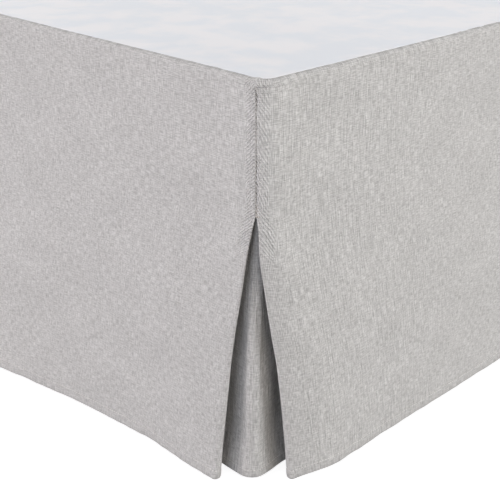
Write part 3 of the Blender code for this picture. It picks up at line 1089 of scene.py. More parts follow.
@dataclass
class DropPanel(SubAssembly):
    """A drop panel: a hemmed sheet with its corner edges folded back as facings and its top rolled over."""

    layout: Layout
    pleat: PleatShape
    side: Side
    name: str
    dents: Sequence[Dent]
    seed: int
    flat: tuple[float, float]
    stitch_spacing: float = 3.1 * MM
    stitch_length: float = 2.2 * MM
    thread_radius: float = 0.36 * MM
    thread_rise: float = 0.16 * MM
    relief_depth: float = 0.42 * MM
    relief_spans: tuple[float, float] = (55.0 * MM, 260.0 * MM)
    hem_ripple: float = 0.35 * MM
    ripple_spans: tuple[float, float] = (14.0 * MM, 30.0 * MM)
    ripple_height: float = 26.0 * MM
    drift_depth: float = 0.26 * MM  # how far the hem rides up and down
    drift_spans: tuple[float, float] = (30.0 * MM, 160.0 * MM)
    drift_height: float = 90.0 * MM
    bend_height: float = 160.0 * MM  # height below the apex in which a folded edge takes its full bend
    shown_from: float = 0.55  # how far round a fold the hem stitches run
    edge_bend: tuple[float, float] = (14.0 * MM, 1.3 * MM)  # how far in a folded edge bends back, and how deep
    corner_drop: float = 0.8 * MM  # how far the hem dips at a folded edge
    corner_run: float = 14.0 * MM
    true_run: float = 0.43  # length from a folded edge in which the face keeps the cloth's own length
    map_gap: float = 1.0 * MM  # what the flat map gains between a fold and its face
    hem_band: float = 0.3 * MM
    far_edge: float = 1.0

    @abstractmethod
    def columns(self) -> Array:
        """Places of the face's columns on the flat cloth, from the fold of the first edge."""

    @abstractmethod
    def curve(self, height: float) -> PlanCurve:
        """Plan line of the face at a height, from fold to fold or from fold to head edge."""

    @abstractmethod
    def place(self, lengthwise: Array, deep: Array, height: Array) -> Array:
        """Points in the frame."""

    @property
    @abstractmethod
    def outward(self) -> float:
        """1 if the grid's normals face out, and -1 if they face in."""

    @property
    @abstractmethod
    def second_fold(self) -> bool:
        """True if the far edge is folded back too."""

    def rows(self) -> tuple[Array, Array, Array]:
        """Rise, roll inward and height of the facing for each row, from the hem up."""
        body = graded(
            (0.6 * MM, 0.6 * MM),
            (HEM_STITCH - 1.2 * MM, 2.0 * MM),
            (HEM_STITCH, 0.6 * MM),
            (HEM_DEPTH + 1.0 * MM, 0.8 * MM),
            (DROP - FACING_KNEE, 2.75 * MM),
        )
        neck = graded((DROP - TOP_ROLL, 1.25 * MM), start=DROP - FACING_KNEE)[1:]
        turns = np.radians(np.linspace(0.0, 90.0, 7))[1:]
        rise = np.concatenate((body, neck, DROP - TOP_ROLL + TOP_ROLL * np.sin(turns), [DROP]))
        roll = np.concatenate((np.zeros(len(body) + len(neck)), TOP_ROLL * (1.0 - np.cos(turns)), [TOP_LAP]))
        rest = len(rise) - len(body)
        facing = np.concatenate((body, np.linspace(body[-1], DROP - FACING_BELOW_TOP, rest + 1)[1:]))
        return rise, roll, facing

    def folded_edge(self, radius: float) -> tuple[Array, Array, Array, Array]:
        """Facing and fold of a folded edge.

        Args:
            radius: radius of the fold.

        Returns:
            Length from the fold's rim, depth, how far each station faces out, and its place on the flat cloth.
        """
        shares = np.array((1.0, 0.985, 0.8, 0.6, 0.42, 0.28, 0.16, 0.07))
        turns = np.linspace(0.5 * math.pi, -0.5 * math.pi, 11)
        arc = 0.5 * math.pi * radius
        length = np.concatenate((radius + FACING_WIDTH * shares, radius - radius * np.cos(turns)))
        depth = np.concatenate((np.full(len(shares), 2.0 * radius), radius + radius * np.sin(turns)))
        outward = np.concatenate((np.zeros(len(shares)), np.linspace(0.0, 1.0, len(turns))))
        cloth = np.concatenate((-2.0 * arc - FACING_WIDTH * shares, np.linspace(-2.0 * arc, 0.0, len(turns))))
        return length, depth, outward, cloth

    def face_lengths(self, columns: Array, total: float, radius: float) -> Array:
        """Lengths along the plan line at which the face's columns lie, true to the cloth near a folded edge."""
        near, nominal = self.true_run, columns[-1]
        if self.second_fold:
            reach = total - 2.0 * radius
            stops, places = (0.0, near, nominal - near, nominal), (0.0, near, reach - near, reach)
        else:
            reach = total - radius
            stops, places = (0.0, near, nominal), (0.0, near, reach)
        return radius + np.interp(columns, stops, places)

    def hem_push(self, height: Array) -> Array:
        """How far the face stands out at the hem: a plump band, drawn in at its stitches and round at its fold."""
        band = self.hem_band * np.sqrt(np.clip(1.0 - ((height / HEM_STITCH) * 2.0 - 1.0) ** 2, 0.0, 1.0))
        return band - hem_dip(height, HEM_STITCH, 0.34 * MM, 0.75 * MM, 0.55 * MM)

    def from_far_fold(self, across: Array) -> Array:
        """Distance from the far folded edge, or 1 m where there is none."""
        return self.far_edge - across if self.second_fold else np.full(across.shape, 1.0)

    def grid(self) -> tuple[Grid, Array]:
        """Outer face of the panel.

        Returns:
            The grid, and how far each of its points faces out, from 0 on a facing to 1 on the face.
        """
        columns = self.columns()
        self.far_edge = float(columns[-1])
        placed, cloth, outward = [], [], []
        for rise, roll, facing in zip(*self.rows()):
            radius = self.pleat.fold_radius(rise)
            curve = self.curve(rise)
            length, depth, faces_out, flat = self.folded_edge(radius)
            lengths = [length, self.face_lengths(columns, curve.total, radius)]
            depths = [depth, np.zeros(len(columns))]
            outs = [faces_out, np.ones(len(columns))]
            flats = [flat - self.map_gap, columns]
            if self.second_fold:
                lengths.append(curve.total - length[::-1])
                depths.append(depth[::-1])
                outs.append(faces_out[::-1])
                flats.append(columns[-1] + self.map_gap - flat[::-1])
            out = np.concatenate(outs)
            lengthwise, deep = curve.at(np.concatenate(lengths), np.concatenate(depths) + roll * out)
            height = facing + (rise - facing) * out
            placed.append(np.stack((lengthwise, deep, height), axis=1))
            cloth.append(np.stack((np.concatenate(flats), height), axis=1))
            outward.append(out)
        placed, cloth, outward = np.array(placed), np.array(cloth), np.array(outward)
        from_seam = np.abs(np.minimum(cloth[..., 0], self.from_far_fold(cloth[..., 0])))
        from_seam *= -1.0 if self.second_fold else 1.0
        placed[..., 2] += self.hem_drift(cloth)
        points = self.place(placed[..., 0], placed[..., 1], placed[..., 2])
        normals = grid_normals(points) * self.outward
        push = self.hem_push(cloth[..., 1]) + outward**2 * self.unevenness(cloth)
        points = points + normals * push[..., None]
        return Grid(points, cloth, np.stack((from_seam, cloth[..., 1]), axis=-1), self.outward), outward

    def hem_drift(self, cloth: Array) -> Array:
        """How far the hem rides up or down where it was folded a little unevenly."""
        wave = SoftRelief(self.seed + 50, *self.drift_spans, 10)(cloth[..., 0], 0.0 * cloth[..., 0])
        edge = np.minimum(cloth[..., 0], self.from_far_fold(cloth[..., 0]))
        near = np.clip(1.0 - np.maximum(edge, 0.0) / self.corner_run, 0.0, 1.0)
        low = 1.0 - ramp(cloth[..., 1], 0.0, self.drift_height)
        return (self.drift_depth * wave - self.corner_drop * near**1.5) * low

    def unevenness(self, cloth: Array) -> Array:
        """How far the face stands out from its smooth hanging shape."""
        across, height = cloth[..., 0], cloth[..., 1]
        free = ramp(DROP - height, 4.0 * MM, 60.0 * MM) * ramp(across, 6.0 * MM, 60.0 * MM)
        soft = SoftRelief(self.seed, *self.relief_spans)(across, height) * self.relief_depth * free
        rope = SoftRelief(self.seed + 9, *self.ripple_spans, 8)(across, 0.25 * height)
        rope = rope * self.hem_ripple * (1.0 - ramp(height, 0.0, self.ripple_height)) * 0.5
        run, depth = self.edge_bend
        near = np.clip(1.0 - np.minimum(across, self.from_far_fold(across)) / run, 0.0, 1.0)
        bend = depth * near**2 * ramp(APEX - height, 0.0, self.bend_height)
        return soft + rope - bend - sum(dent(across, height) for dent in self.dents)

    def thickness(self, grid: Grid) -> Array:
        """Thickness of the sheet, with the hem's two more layers behind it."""
        height = grid.cloth[..., 1]
        return CLOTH + HEM_LAYERS * (1.0 - ramp(height, HEM_DEPTH - 0.3 * MM, HEM_DEPTH + 1.2 * MM))

    def build(self) -> list[bpy.types.Object]:
        """Makes the panel and its hem stitches."""
        grid, outward = self.grid()
        sheet = closed_sheet(self.name + "_cloth", grid, self.thickness(grid))
        row = int(np.argmin(np.abs(self.rows()[0] - HEM_STITCH)))
        shown = outward[row] > self.shown_from
        normals = grid_normals(grid.points)[row][shown] * self.outward
        line = grid.points[row][shown] + normals * self.thread_rise
        name = self.name + "_hem_stitches"
        stitches = stitches_along(name, line, self.stitch_spacing, self.stitch_length, self.thread_radius)
        self.pieces = [sheet, stitches]
        return self.pieces

    def dress(self, finishes: Finishes) -> None:
        """Dresses the panel in cloth and its stitches in thread."""
        sheet, stitches = self.pieces
        attach(sheet, finishes.skirt, "skirt_cloth", self.name)
        attach(stitches, finishes.thread, "skirt_cloth")


@dataclass
class FootPanel(DropPanel):
    """Drop panel across the foot, folded back at both corners."""

    second_fold = True
    outward = -1.0

    def __post_init__(self) -> None:
        """Fits the panel's waves."""
        self.flare = Profile(FOOT_FLARE, 1)

    def columns(self) -> Array:
        """Fine near the right corner, then coarser, and fine again near the left one."""
        total = self.layout.width - 2.0 * float(self.pleat.foot_fold(APEX))
        return graded(
            (14.0 * MM, 1.0 * MM),
            (50.0 * MM, 1.8 * MM),
            (200.0 * MM, 3.2 * MM),
            (450.0 * MM, 4.6 * MM),
            (total - 300.0 * MM, 12.0 * MM),
            (total - 50.0 * MM, 6.5 * MM),
            (total - 14.0 * MM, 3.0 * MM),
            (total - 1.0 * MM, 1.3 * MM),
            start=1.0 * MM,
        )

    def curve(self, height: float) -> PlanCurve:
        """Plan line between the two folds, with the waves that open towards the hem."""
        fold = float(self.pleat.foot_fold(height)) - self.pleat.overlap(height)
        share = np.linspace(0.0, 1.0, 1400)
        along = fold + (self.layout.width - 2.0 * fold) * (0.4 * share + 0.3 * (1.0 - np.cos(math.pi * share)))
        out = self.flare(along)
        for centre, half, depth in FOOT_TROUGHS:
            out = out - depth * MM * hump(along, centre * MM, half * MM)
        turned = corner_turn(np.minimum(along, self.layout.width - along))
        return PlanCurve(along, turned - out * hang(height))

    def place(self, lengthwise: Array, deep: Array, height: Array) -> Array:
        """Points in the frame, from the right foot corner."""
        return self.layout.world(Side.RIGHT, lengthwise, deep, height)


@dataclass
class SidePanel(DropPanel):
    """Drop panel down one side: its corner edge is folded back and curls in, and its head edge is hemmed."""

    second_fold = False

    def __post_init__(self) -> None:
        """Fits the panel's waves."""
        self.corner_drop = 2.2 * MM  # the bias of the curl lets this corner hang lower
        self.flare = Profile(SIDE_FLARE, 1 if self.side is Side.RIGHT else 2)

    @property
    def outward(self) -> float:
        """The right panel's grid faces out, and the left one's faces in."""
        return self.side.value

    def columns(self) -> Array:
        """Fine near the corner, then coarser to the hemmed head edge."""
        total = self.layout.length - float(self.pleat.side_back(APEX))
        fine = 1.0 if self.side is Side.RIGHT else 2.0
        return graded(
            (14.0 * MM, fine * MM),
            (60.0 * MM, fine * 1.8 * MM),
            (200.0 * MM, fine * 3.2 * MM),
            (450.0 * MM, fine * 4.6 * MM),
            (total - HEM_DEPTH - 2.0 * MM, 15.0 * MM),
            (total, 1.4 * MM),
            start=1.0 * MM,
        )

    def curve(self, height: float) -> PlanCurve:
        """Plan line: round the corner above the apex, curled in to the fold below it."""
        back_fold = float(self.pleat.side_back(height))
        length = float(self.pleat.curl_length(height))
        share = np.linspace(0.0, 1.0, 1600)
        start = back_fold - self.pleat.overlap(height)
        back = start + (self.layout.length - start) * share**1.6
        reach = np.clip((back_fold + length - back) / length, 0.0, None)
        curl = float(self.pleat.side_along(height)) * reach ** float(self.pleat.curl_power(height))
        opened = float(ramp(np.array(APEX - height), -4.0 * MM, OPENING_RUN))
        depth = corner_turn(back) * (1.0 - opened) + curl * opened
        return PlanCurve(back, depth - self.flare(back) * hang(height))

    def place(self, lengthwise: Array, deep: Array, height: Array) -> Array:
        """Points in the frame, from this side's foot corner."""
        return self.layout.world(self.side, deep, lengthwise, height)


# ---------------------------------------------------------------------------------------------------------------
# Pleat underlay and corner seam
# ---------------------------------------------------------------------------------------------------------------


@dataclass
class PleatUnderlay(SubAssembly):
    """The piece of cloth behind a kick pleat, bent round the corner and splayed towards its hem."""

    layout: Layout
    pleat: PleatShape
    side: Side
    name: str
    reach: float = 132.0 * MM
    recess_run: float = 36.0 * MM
    below_top: float = 9.0 * MM
    shorter: float = 1.0 * MM
    hem_stitch: float = 8.6 * MM
    relief_depth: float = 0.3 * MM
    stitch_spacing: float = 2.9 * MM
    stitch_length: float = 2.1 * MM
    thread_radius: float = 0.38 * MM
    thread_rise: float = 0.18 * MM
    recess_lead: float = 6.0 * MM  # how far round the corner the arms begin to fall back
    beside_seam: float = 0.1  # its distance on the map "Seam": past the puckers, among the ribs
    arm_points: int = 26
    turn_points: int = 23
    dents: tuple[Dent, ...] = (
        Dent(0.0, 234.0, 9.0, 4.0, 0.8, -0.8),
        Dent(2.0, 226.0, 8.0, 3.6, -0.9, 0.5),
        Dent(-6.0, 214.0, 9.0, 6.0, 0.7, 0.9),
        Dent(14.0, 150.0, 6.0, 60.0, 0.8, 0.05),
        Dent(-18.0, 120.0, 7.0, 80.0, 0.8, -0.03),
        Dent(28.0, 90.0, 8.0, 70.0, -0.7, 0.04),
    )

    def build(self) -> list[bpy.types.Object]:
        """Makes the underlay and its hem stitches."""
        heights = graded(
            (self.shorter + 0.6 * MM, 0.6 * MM),
            (self.shorter + self.hem_stitch, 1.3 * MM),
            (self.shorter + self.hem_stitch + 2.4 * MM, 0.8 * MM),
            (APEX + 8.0 * MM, 2.2 * MM),
            (DROP - self.below_top, 6.0 * MM),
            start=self.shorter,
        )
        rows, maps = [], []
        turns = np.linspace(0.0, 0.5 * math.pi, self.turn_points)
        share = np.linspace(0.0, 1.0, self.arm_points) ** 1.4
        for height in heights:
            foot, side = float(self.pleat.behind_foot(height)), float(self.pleat.behind_side(height))
            recess, radius = float(self.pleat.recess(height)), float(self.pleat.soft_corner(height))
            centre_along, centre_back = side + radius, foot + radius
            arm_along = (centre_along + (self.reach - centre_along) * share)[:0:-1]
            arm_back = (centre_back + (self.reach - centre_back) * share)[1:]
            fall_foot = recess * ramp(arm_along - centre_along, -self.recess_lead, self.recess_run)
            fall_side = recess * ramp(arm_back - centre_back, -self.recess_lead, self.recess_run)
            along = np.concatenate((arm_along, centre_along - radius * np.sin(turns), side + fall_side))
            back = np.concatenate((foot + fall_foot, centre_back - radius * np.cos(turns), arm_back))
            flat = walked(np.stack((along, back), axis=1))
            middle = flat[self.arm_points - 1] + 0.25 * math.pi * radius
            rows.append(self.layout.world(self.side, along, back, np.full(len(along), height)))
            maps.append(np.stack((flat - middle, np.full(len(along), height - self.shorter)), axis=1))
        points, cloth = np.array(rows), np.array(maps)
        outward = self.side.value
        relief = SoftRelief(31 + int(outward), 18.0 * MM, 70.0 * MM)(cloth[..., 0], 0.35 * cloth[..., 1])
        across, above = cloth[..., 0], cloth[..., 1]
        held = ramp(DROP - above, 100.0 * MM, 150.0 * MM)
        clear = 1.0 - ramp(np.abs(across), 60.0 * MM, 110.0 * MM)
        push = self.relief_depth * relief * held * clear
        push = push - hem_dip(above, self.hem_stitch, 0.3 * MM, 0.8 * MM, 0.45 * MM)
        push = push - sum(dent(across, above + self.shorter) for dent in self.dents) * clear
        normals = grid_normals(points) * outward
        points = points + normals * push[..., None]
        seam = np.stack((np.full(above.shape, self.beside_seam), above + HEM_DEPTH - self.hem_stitch), axis=-1)
        grid = Grid(points, cloth, seam, outward)
        thick = CLOTH + HEM_LAYERS * (1.0 - ramp(above, self.hem_stitch + 0.8 * MM, self.hem_stitch + 2.2 * MM))
        sheet = closed_sheet(self.name + "_cloth", grid, thick)
        row = int(np.argmin(np.abs(heights - self.shorter - self.hem_stitch)))
        line = points[row] + normals[row] * self.thread_rise
        name = self.name + "_hem_stitches"
        stitches = stitches_along(name, line, self.stitch_spacing, self.stitch_length, self.thread_radius)
        self.pieces = [sheet, stitches]
        return self.pieces

    def dress(self, finishes: Finishes) -> None:
        """Dresses the underlay in cloth and its stitches in thread."""
        sheet, stitches = self.pieces
        attach(sheet, finishes.skirt, "skirt_cloth", self.name)
        attach(stitches, finishes.thread, "skirt_cloth")


@dataclass
class CornerSeam(SubAssembly):
    """Stitches of the seam between two panels, and the bar tack where it ends."""

    layout: Layout
    pleat: PleatShape
    side: Side
    name: str
    spacing: float = 2.3 * MM
    below_top: float = 6.5 * MM
    stitch: tuple[float, float, float] = (0.16 * MM, 1.75 * MM, 0.3 * MM)  # how deep it lies, length, radius
    tack_height: float = 9.0 * MM
    tack_rows: int = 8
    tack_swing: float = 0.35 * MM
    tack: tuple[float, float, float] = (0.12 * MM, 3.4 * MM, 0.3 * MM)
    tack_end: tuple[float, float, float] = (0.25 * MM, 6.2 * MM, 0.34 * MM)

    def bar(self, heights: Array, sunk: float, shift: Array) -> tuple[Array, Array]:
        """Middles and directions of stitches that lie across the seam.

        Args:
            heights: height of each above the hem.
            sunk: how deep below the cloth's face they lie.
            shift: how far each is moved across the seam.

        Returns:
            Their middles and unit directions in the frame.
        """
        place, outward = self.pleat.seam_place()
        across = np.array((-outward[1], outward[0]))
        along, back = place - outward * sunk
        centres = self.layout.world(self.side, along + across[0] * shift, back + across[1] * shift, heights)
        start = self.layout.world(self.side, np.array([0.0]), np.array([0.0]), np.array([0.0]))[0]
        end = self.layout.world(self.side, across[:1], across[1:], np.array([0.0]))[0]
        return centres, np.tile(unit(end - start), (len(heights), 1))

    def build(self) -> list[bpy.types.Object]:
        """Makes the seam's stitches and the tack."""
        draw = np.random.default_rng(7)
        heights = np.arange(APEX + self.tack_height + 1.5 * MM, DROP - self.below_top, self.spacing)
        heights = heights + draw.uniform(-0.2, 0.2, len(heights)) * MM
        sunk, *size = self.stitch
        centres, _ = self.bar(heights, sunk, np.zeros(len(heights)))
        upright = np.tile(np.array((0.0, 0.0, 1.0)), (len(heights), 1))
        self.pieces = [threads(self.name + "_stitches", centres, upright, *size)]
        rows = APEX + 0.4 * MM + self.tack_height * np.arange(self.tack_rows) / (self.tack_rows - 1)
        swing = np.where(np.arange(self.tack_rows) % 2 == 0, self.tack_swing, -self.tack_swing)
        end_rows = APEX + np.array((-0.6, 0.0)) * MM
        bars = (("_tack", rows, swing, self.tack), ("_tack_end", end_rows, np.zeros(2), self.tack_end))
        for label, places, shift, (sunk, *size) in bars:
            centres, directions = self.bar(places, sunk, shift)
            self.pieces.append(threads(self.name + label, centres, directions, *size))
        return self.pieces

    def dress(self, finishes: Finishes) -> None:
        """Dresses the stitches in thread."""
        for piece in self.pieces:
            attach(piece, finishes.seam_thread, "skirt_cloth")


# ---------------------------------------------------------------------------------------------------------------
# Deck
# ---------------------------------------------------------------------------------------------------------------


@dataclass
class Deck(SubAssembly):
    """White sheet on the bed base, sewn to the panels on three sides and hemmed at the head."""

    layout: Layout
    node: str = "deck"
    corner: float = 11.0 * MM
    head_corner: float = 4.0 * MM
    relief_depth: float = 0.55 * MM
    pucker_depth: float = 0.22 * MM
    hem: float = 24.0 * MM
    lap: float = 1.5 * MM  # how far the sheet laps the panels' rolled tops
    lift: float = 0.3 * MM
    stitch_inset: float = 2.0 * MM  # hem stitches from the inner edge of the hem
    stitch: tuple[float, float, float] = (3.4 * MM, 2.5 * MM, 0.26 * MM)  # spacing, length, radius
    thread_rise: float = 0.06 * MM

    def build(self) -> list[bpy.types.Object]:
        """Makes the sheet and the stitches of its head hem."""
        low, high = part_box(self.node)
        reach = Vector((self.lap, self.lap, 0.0))
        low, high = low - reach, high + Vector((self.lap, 0.0, self.lift))
        across = graded(
            (8.0 * MM, 1.6 * MM),
            (60.0 * MM, 4.0 * MM),
            (700.0 * MM, 7.0 * MM),
            (high.x - low.x - 30.0 * MM, 16.0 * MM),
            (high.x - low.x, 5.0 * MM),
        )
        half = 0.5 * (high.x - low.x)
        length = high.y - low.y
        bend = np.linspace(0.0, 0.5 * math.pi, 8)
        foot_rows = self.corner * (1.0 - np.cos(bend))
        head_rows = length - self.head_corner * (1.0 - np.cos(bend[::-1]))
        middle = graded(
            (60.0 * MM, 4.0 * MM), (700.0 * MM, 7.0 * MM), (length - self.hem, 16.0 * MM), start=self.corner
        )
        hem_rows = graded((length - self.head_corner, 2.0 * MM), start=length - self.hem)
        rows = np.concatenate((foot_rows, middle[1:], hem_rows[1:], head_rows[1:]))
        share = (half - corner_turn(rows, self.corner) - corner_turn(length - rows, self.head_corner)) / half
        x = high.x - half + (half - across)[None, :] * share[:, None]
        cloth = np.stack(np.meshgrid(across, rows), axis=-1)
        z = high.z + self.relief(cloth, 2.0 * half, length)
        points = np.stack((x, low.y + cloth[..., 1], z), axis=-1)
        seam = np.stack((np.ones(z.shape), cloth[..., 1]), axis=-1)
        sheet = closed_sheet(self.node + "_sheet", Grid(points, cloth, seam, -1.0), np.full(z.shape, CLOTH))
        row = int(np.argmin(np.abs(rows - (length - self.hem + self.stitch_inset))))
        line = points[row][2:-2] + np.array((0.0, 0.0, self.thread_rise))
        self.pieces = [sheet, stitches_along(self.node + "_hem_stitches", line, *self.stitch)]
        return self.pieces

    def relief(self, cloth: Array, width: float, length: float) -> Array:
        """Soft wrinkles of the loose middle, puckers along the sewn edges and the step of the head hem.

        Args:
            cloth: place of each point on the flat sheet.
            width: width of the sheet.
            length: length of the sheet.

        Returns:
            Height above the sheet's flat face.
        """
        across, up = cloth[..., 0], cloth[..., 1]
        to_edge = np.minimum(np.minimum(across, width - across), up)
        to_rim = np.minimum(to_edge, length - up)
        soft = SoftRelief(71, 60.0 * MM, 420.0 * MM, 22)(across, up)
        wrinkles = self.relief_depth * (soft + 1.2) * ramp(to_rim, 6.0 * MM, 90.0 * MM)
        pull = SoftRelief(72, 12.0 * MM, 26.0 * MM, 8)
        drawn = pull(across, 0.1 * up) * hump(up, 6.0 * MM, 9.0 * MM)
        drawn = drawn + pull(0.1 * across, up) * hump(np.minimum(across, width - across), 6.0 * MM, 9.0 * MM)
        hem = up - (length - self.hem)
        step = 0.5 * MM * ramp(hem, 0.0, 1.5 * MM)
        groove = 0.25 * MM * hump(hem, self.stitch_inset, 1.2 * MM)
        return np.maximum(wrinkles, 0.0) + self.pucker_depth * drawn + step - groove

    def dress(self, finishes: Finishes) -> None:
        """Dresses the sheet in sheeting and its stitches in thread."""
        sheet, stitches = self.pieces
        attach(sheet, finishes.deck, "deck_cloth", self.node)
        attach(stitches, finishes.thread, "deck_cloth")


# ---------------------------------------------------------------------------------------------------------------
# Bed base and legs
# ---------------------------------------------------------------------------------------------------------------


def rounded_loop(half_x: float, half_y: float, radius: float, step: float) -> tuple[Array, Array]:
    """Closed plan loop of a rounded rectangle about the origin.

    Args:
        half_x: half its width.
        half_y: half its length.
        radius: radius of its corners.
        step: spacing of the points along its straight sides.

    Returns:
        Its points, and the direction that faces out at each.
    """
    points, normals = [], []
    corners = ((1, -1, -90.0), (1, 1, 0.0), (-1, 1, 90.0), (-1, -1, 180.0))
    for number, (sx, sy, start) in enumerate(corners):
        centre = np.array((sx * (half_x - radius), sy * (half_y - radius)))
        for turn in np.radians(start + np.linspace(0.0, 90.0, 9)):
            out = np.array((math.cos(turn), math.sin(turn)))
            points.append(centre + out * radius)
            normals.append(out)
        run = 2.0 * ((half_y if number % 2 == 0 else half_x) - radius)
        ahead = np.array((-out[1], out[0]))
        for place in np.linspace(0.0, run, max(2, round(run / step)))[1:-1]:
            points.append(centre + out * radius + ahead * place)
            normals.append(out)
    return np.array(points), np.array(normals)


@dataclass
class BedBase(SubAssembly):
    """Plain bed base: a canvas-covered box with corded seams round its top and bottom."""

    node: str = "bed_base"
    corner: float = 18.0 * MM
    edge: float = 6.0 * MM
    cord: float = 2.6 * MM
    cord_sides: int = 8
    cord_rise: float = 0.62  # height of a cord's middle as a share of the edge's radius
    swell: float = 1.6 * MM
    ripple: float = 0.5 * MM
    step: float = 16.0 * MM
    flat_rings: tuple[float, float] = (0.16, 0.04)  # how far in the flat faces' rings lie

    def build(self) -> list[bpy.types.Object]:
        """Makes the cover and its two cords."""
        low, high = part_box(self.node)
        centre = np.array(((low.x + high.x) / 2.0, (low.y + high.y) / 2.0))
        half_x, half_y = (high.x - low.x) / 2.0 - self.swell, (high.y - low.y) / 2.0 - self.swell
        plan, out = rounded_loop(half_x, half_y, self.corner, self.step)
        tall = high.z - low.z
        profile = self.section(tall)
        ripple = SoftRelief(90, 60.0 * MM, 300.0 * MM, 12)
        flat = walked(plan)
        rings = []
        for inset, rise in profile:
            wall = math.sin(math.pi * min(1.0, max(0.0, rise / tall)))
            relief = self.ripple * ripple(flat, np.full(len(plan), rise))
            puff = (self.swell + relief) * wall if inset <= 0.0 else 0.0
            place = plan + out * np.reshape(np.asarray(puff - inset), (-1, 1)) + centre
            rings.append(np.column_stack((place, np.full(len(plan), low.z + rise))))
        points = np.concatenate(rings)
        cover = new_object(self.node + "_cover", points, ring_faces(len(profile), len(plan)))
        add_map(cover, "Cloth", self.cloth_places(points))
        self.pieces = [cover]
        for label, rise in (("low", self.edge * self.cord_rise), ("top", tall - self.edge * self.cord_rise)):
            self.pieces.append(self.piping(label, plan + centre, out, low.z + rise))
        return self.pieces

    def section(self, tall: float) -> list[tuple[float, float]]:
        """Upright section of the cover: how far in and how high each ring is, from the bottom up."""
        turns = np.linspace(0.0, 0.5 * math.pi, 6)
        rows = [(inset, 0.0) for inset in self.flat_rings]
        rows += [(self.edge * (1.0 - math.sin(t)), self.edge * (1.0 - math.cos(t))) for t in turns]
        rows += [(0.0, rise) for rise in np.linspace(self.edge, tall - self.edge, 15)[1:-1]]
        rows += [(self.edge * (1.0 - math.cos(t)), tall - self.edge * (1.0 - math.sin(t))) for t in turns]
        return rows + [(inset, tall) for inset in reversed(self.flat_rings)]

    def cloth_places(self, points: Array) -> Array:
        """Place of each point on the canvas: its plan on the flat faces, and round and up on the sides."""
        points = points.astype(np.float32).astype(float)
        flat = points[:, :2].copy()
        wall = np.abs(points[:, 2] - points[:, 2].mean()) < 0.5 * np.ptp(points[:, 2]) - 0.1 * MM
        flat[wall] = np.column_stack((points[wall][:, 0] + points[wall][:, 1], points[wall][:, 2]))
        return flat

    def piping(self, label: str, plan: Array, out: Array, height: float) -> bpy.types.Object:
        """One covered cord round the base.

        Args:
            label: which cord.
            plan: plan points of the base's side.
            out: direction that faces out at each.
            height: height of the cord's middle.

        Returns:
            The cord.
        """
        centre = plan + out * (0.1 * MM)
        points, maps = [], []
        flat = walked(plan)
        for turn in 2.0 * math.pi * np.arange(self.cord_sides) / self.cord_sides:
            ring = centre + out * (self.cord * math.cos(turn))
            points.append(np.column_stack((ring, np.full(len(ring), height + self.cord * math.sin(turn)))))
            maps.append(np.column_stack((flat, np.full(len(flat), self.cord * turn))))
        faces = ring_faces(self.cord_sides, len(plan), joined=True)
        piece = new_object(f"{self.node}_cord_{label}", np.concatenate(points), faces)
        add_map(piece, "Cloth", np.concatenate(maps))
        return piece

    def dress(self, finishes: Finishes) -> None:
        """Dresses the base in canvas."""
        cover, *cords = self.pieces
        attach(cover, finishes.canvas, "base_cover", self.node)
        for cord in cords:
            attach(cord, finishes.canvas, "base_cover")


# A leg's collar: how far in from its top radius, how far above its neck. Its glide: how far in from the radius of
# its foot, how high
COLLAR = ((3.0, 0.8), (3.0, 2.4), (0.6, 3.4), (0.0, 4.6))
GLIDE = ((3.2, 0.0), (1.6, 0.5), (1.0, 1.8), (1.0, 4.1), (1.8, 4.9))


@dataclass
class Leg(SubAssembly):
    """Turned beech leg with a collar under the base and a moulded glide at its foot."""

    node: str
    sides: int = 48
    foot_share: float = 19.0 / 27.0  # radius of its foot as a share of its top's
    collar: float = 16.0 * MM
    waist: float = 1.5 * MM  # how much slimmer the taper ends than the top
    glide_height: float = 5.0 * MM
    foot_edge: float = 1.5 * MM
    sharp: float = 40.0  # degrees

    def build(self) -> list[bpy.types.Object]:
        """Makes the leg and its glide, standing where the CAD leg stands."""
        low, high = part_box(self.node)
        x, y = (low.x + high.x) / 2.0, (low.y + high.y) / 2.0
        top = (high.x - low.x) / 2.0
        tall = high.z - low.z
        foot = top * self.foot_share
        neck = tall - self.collar
        start = self.glide_height + self.foot_edge
        profile = [(foot - self.foot_edge, self.glide_height), (foot, start)]
        for share in np.linspace(0.0, 1.0, 14)[1:]:
            profile.append((foot + (top - self.waist - foot) * share**1.1, start + (neck - start) * share))
        profile += [(top - inset * MM, neck + rise * MM) for inset, rise in COLLAR]
        profile += [(top, tall - 1.0 * MM), (top - 1.0 * MM, tall)]
        disc = [(foot - inset * MM, rise * MM) for inset, rise in GLIDE]
        self.pieces = []
        for label, shape in (("wood", profile), ("glide", disc)):
            points, faces = lathe(shape, self.sides)
            piece = new_object(f"{self.node}_{label}", points, faces)
            piece.data.set_sharp_from_angle(angle=math.radians(self.sharp))
            piece.location = (x, y, low.z)
            self.pieces.append(piece)
        return self.pieces

    def dress(self, finishes: Finishes) -> None:
        """Dresses the leg in beech and its glide in moulded plastic."""
        wood, glide = self.pieces
        attach(wood, finishes.beech, "leg_wood", self.node)
        attach(glide, finishes.glide, "leg_wood")


# ---------------------------------------------------------------------------------------------------------------
# Studio
# ---------------------------------------------------------------------------------------------------------------


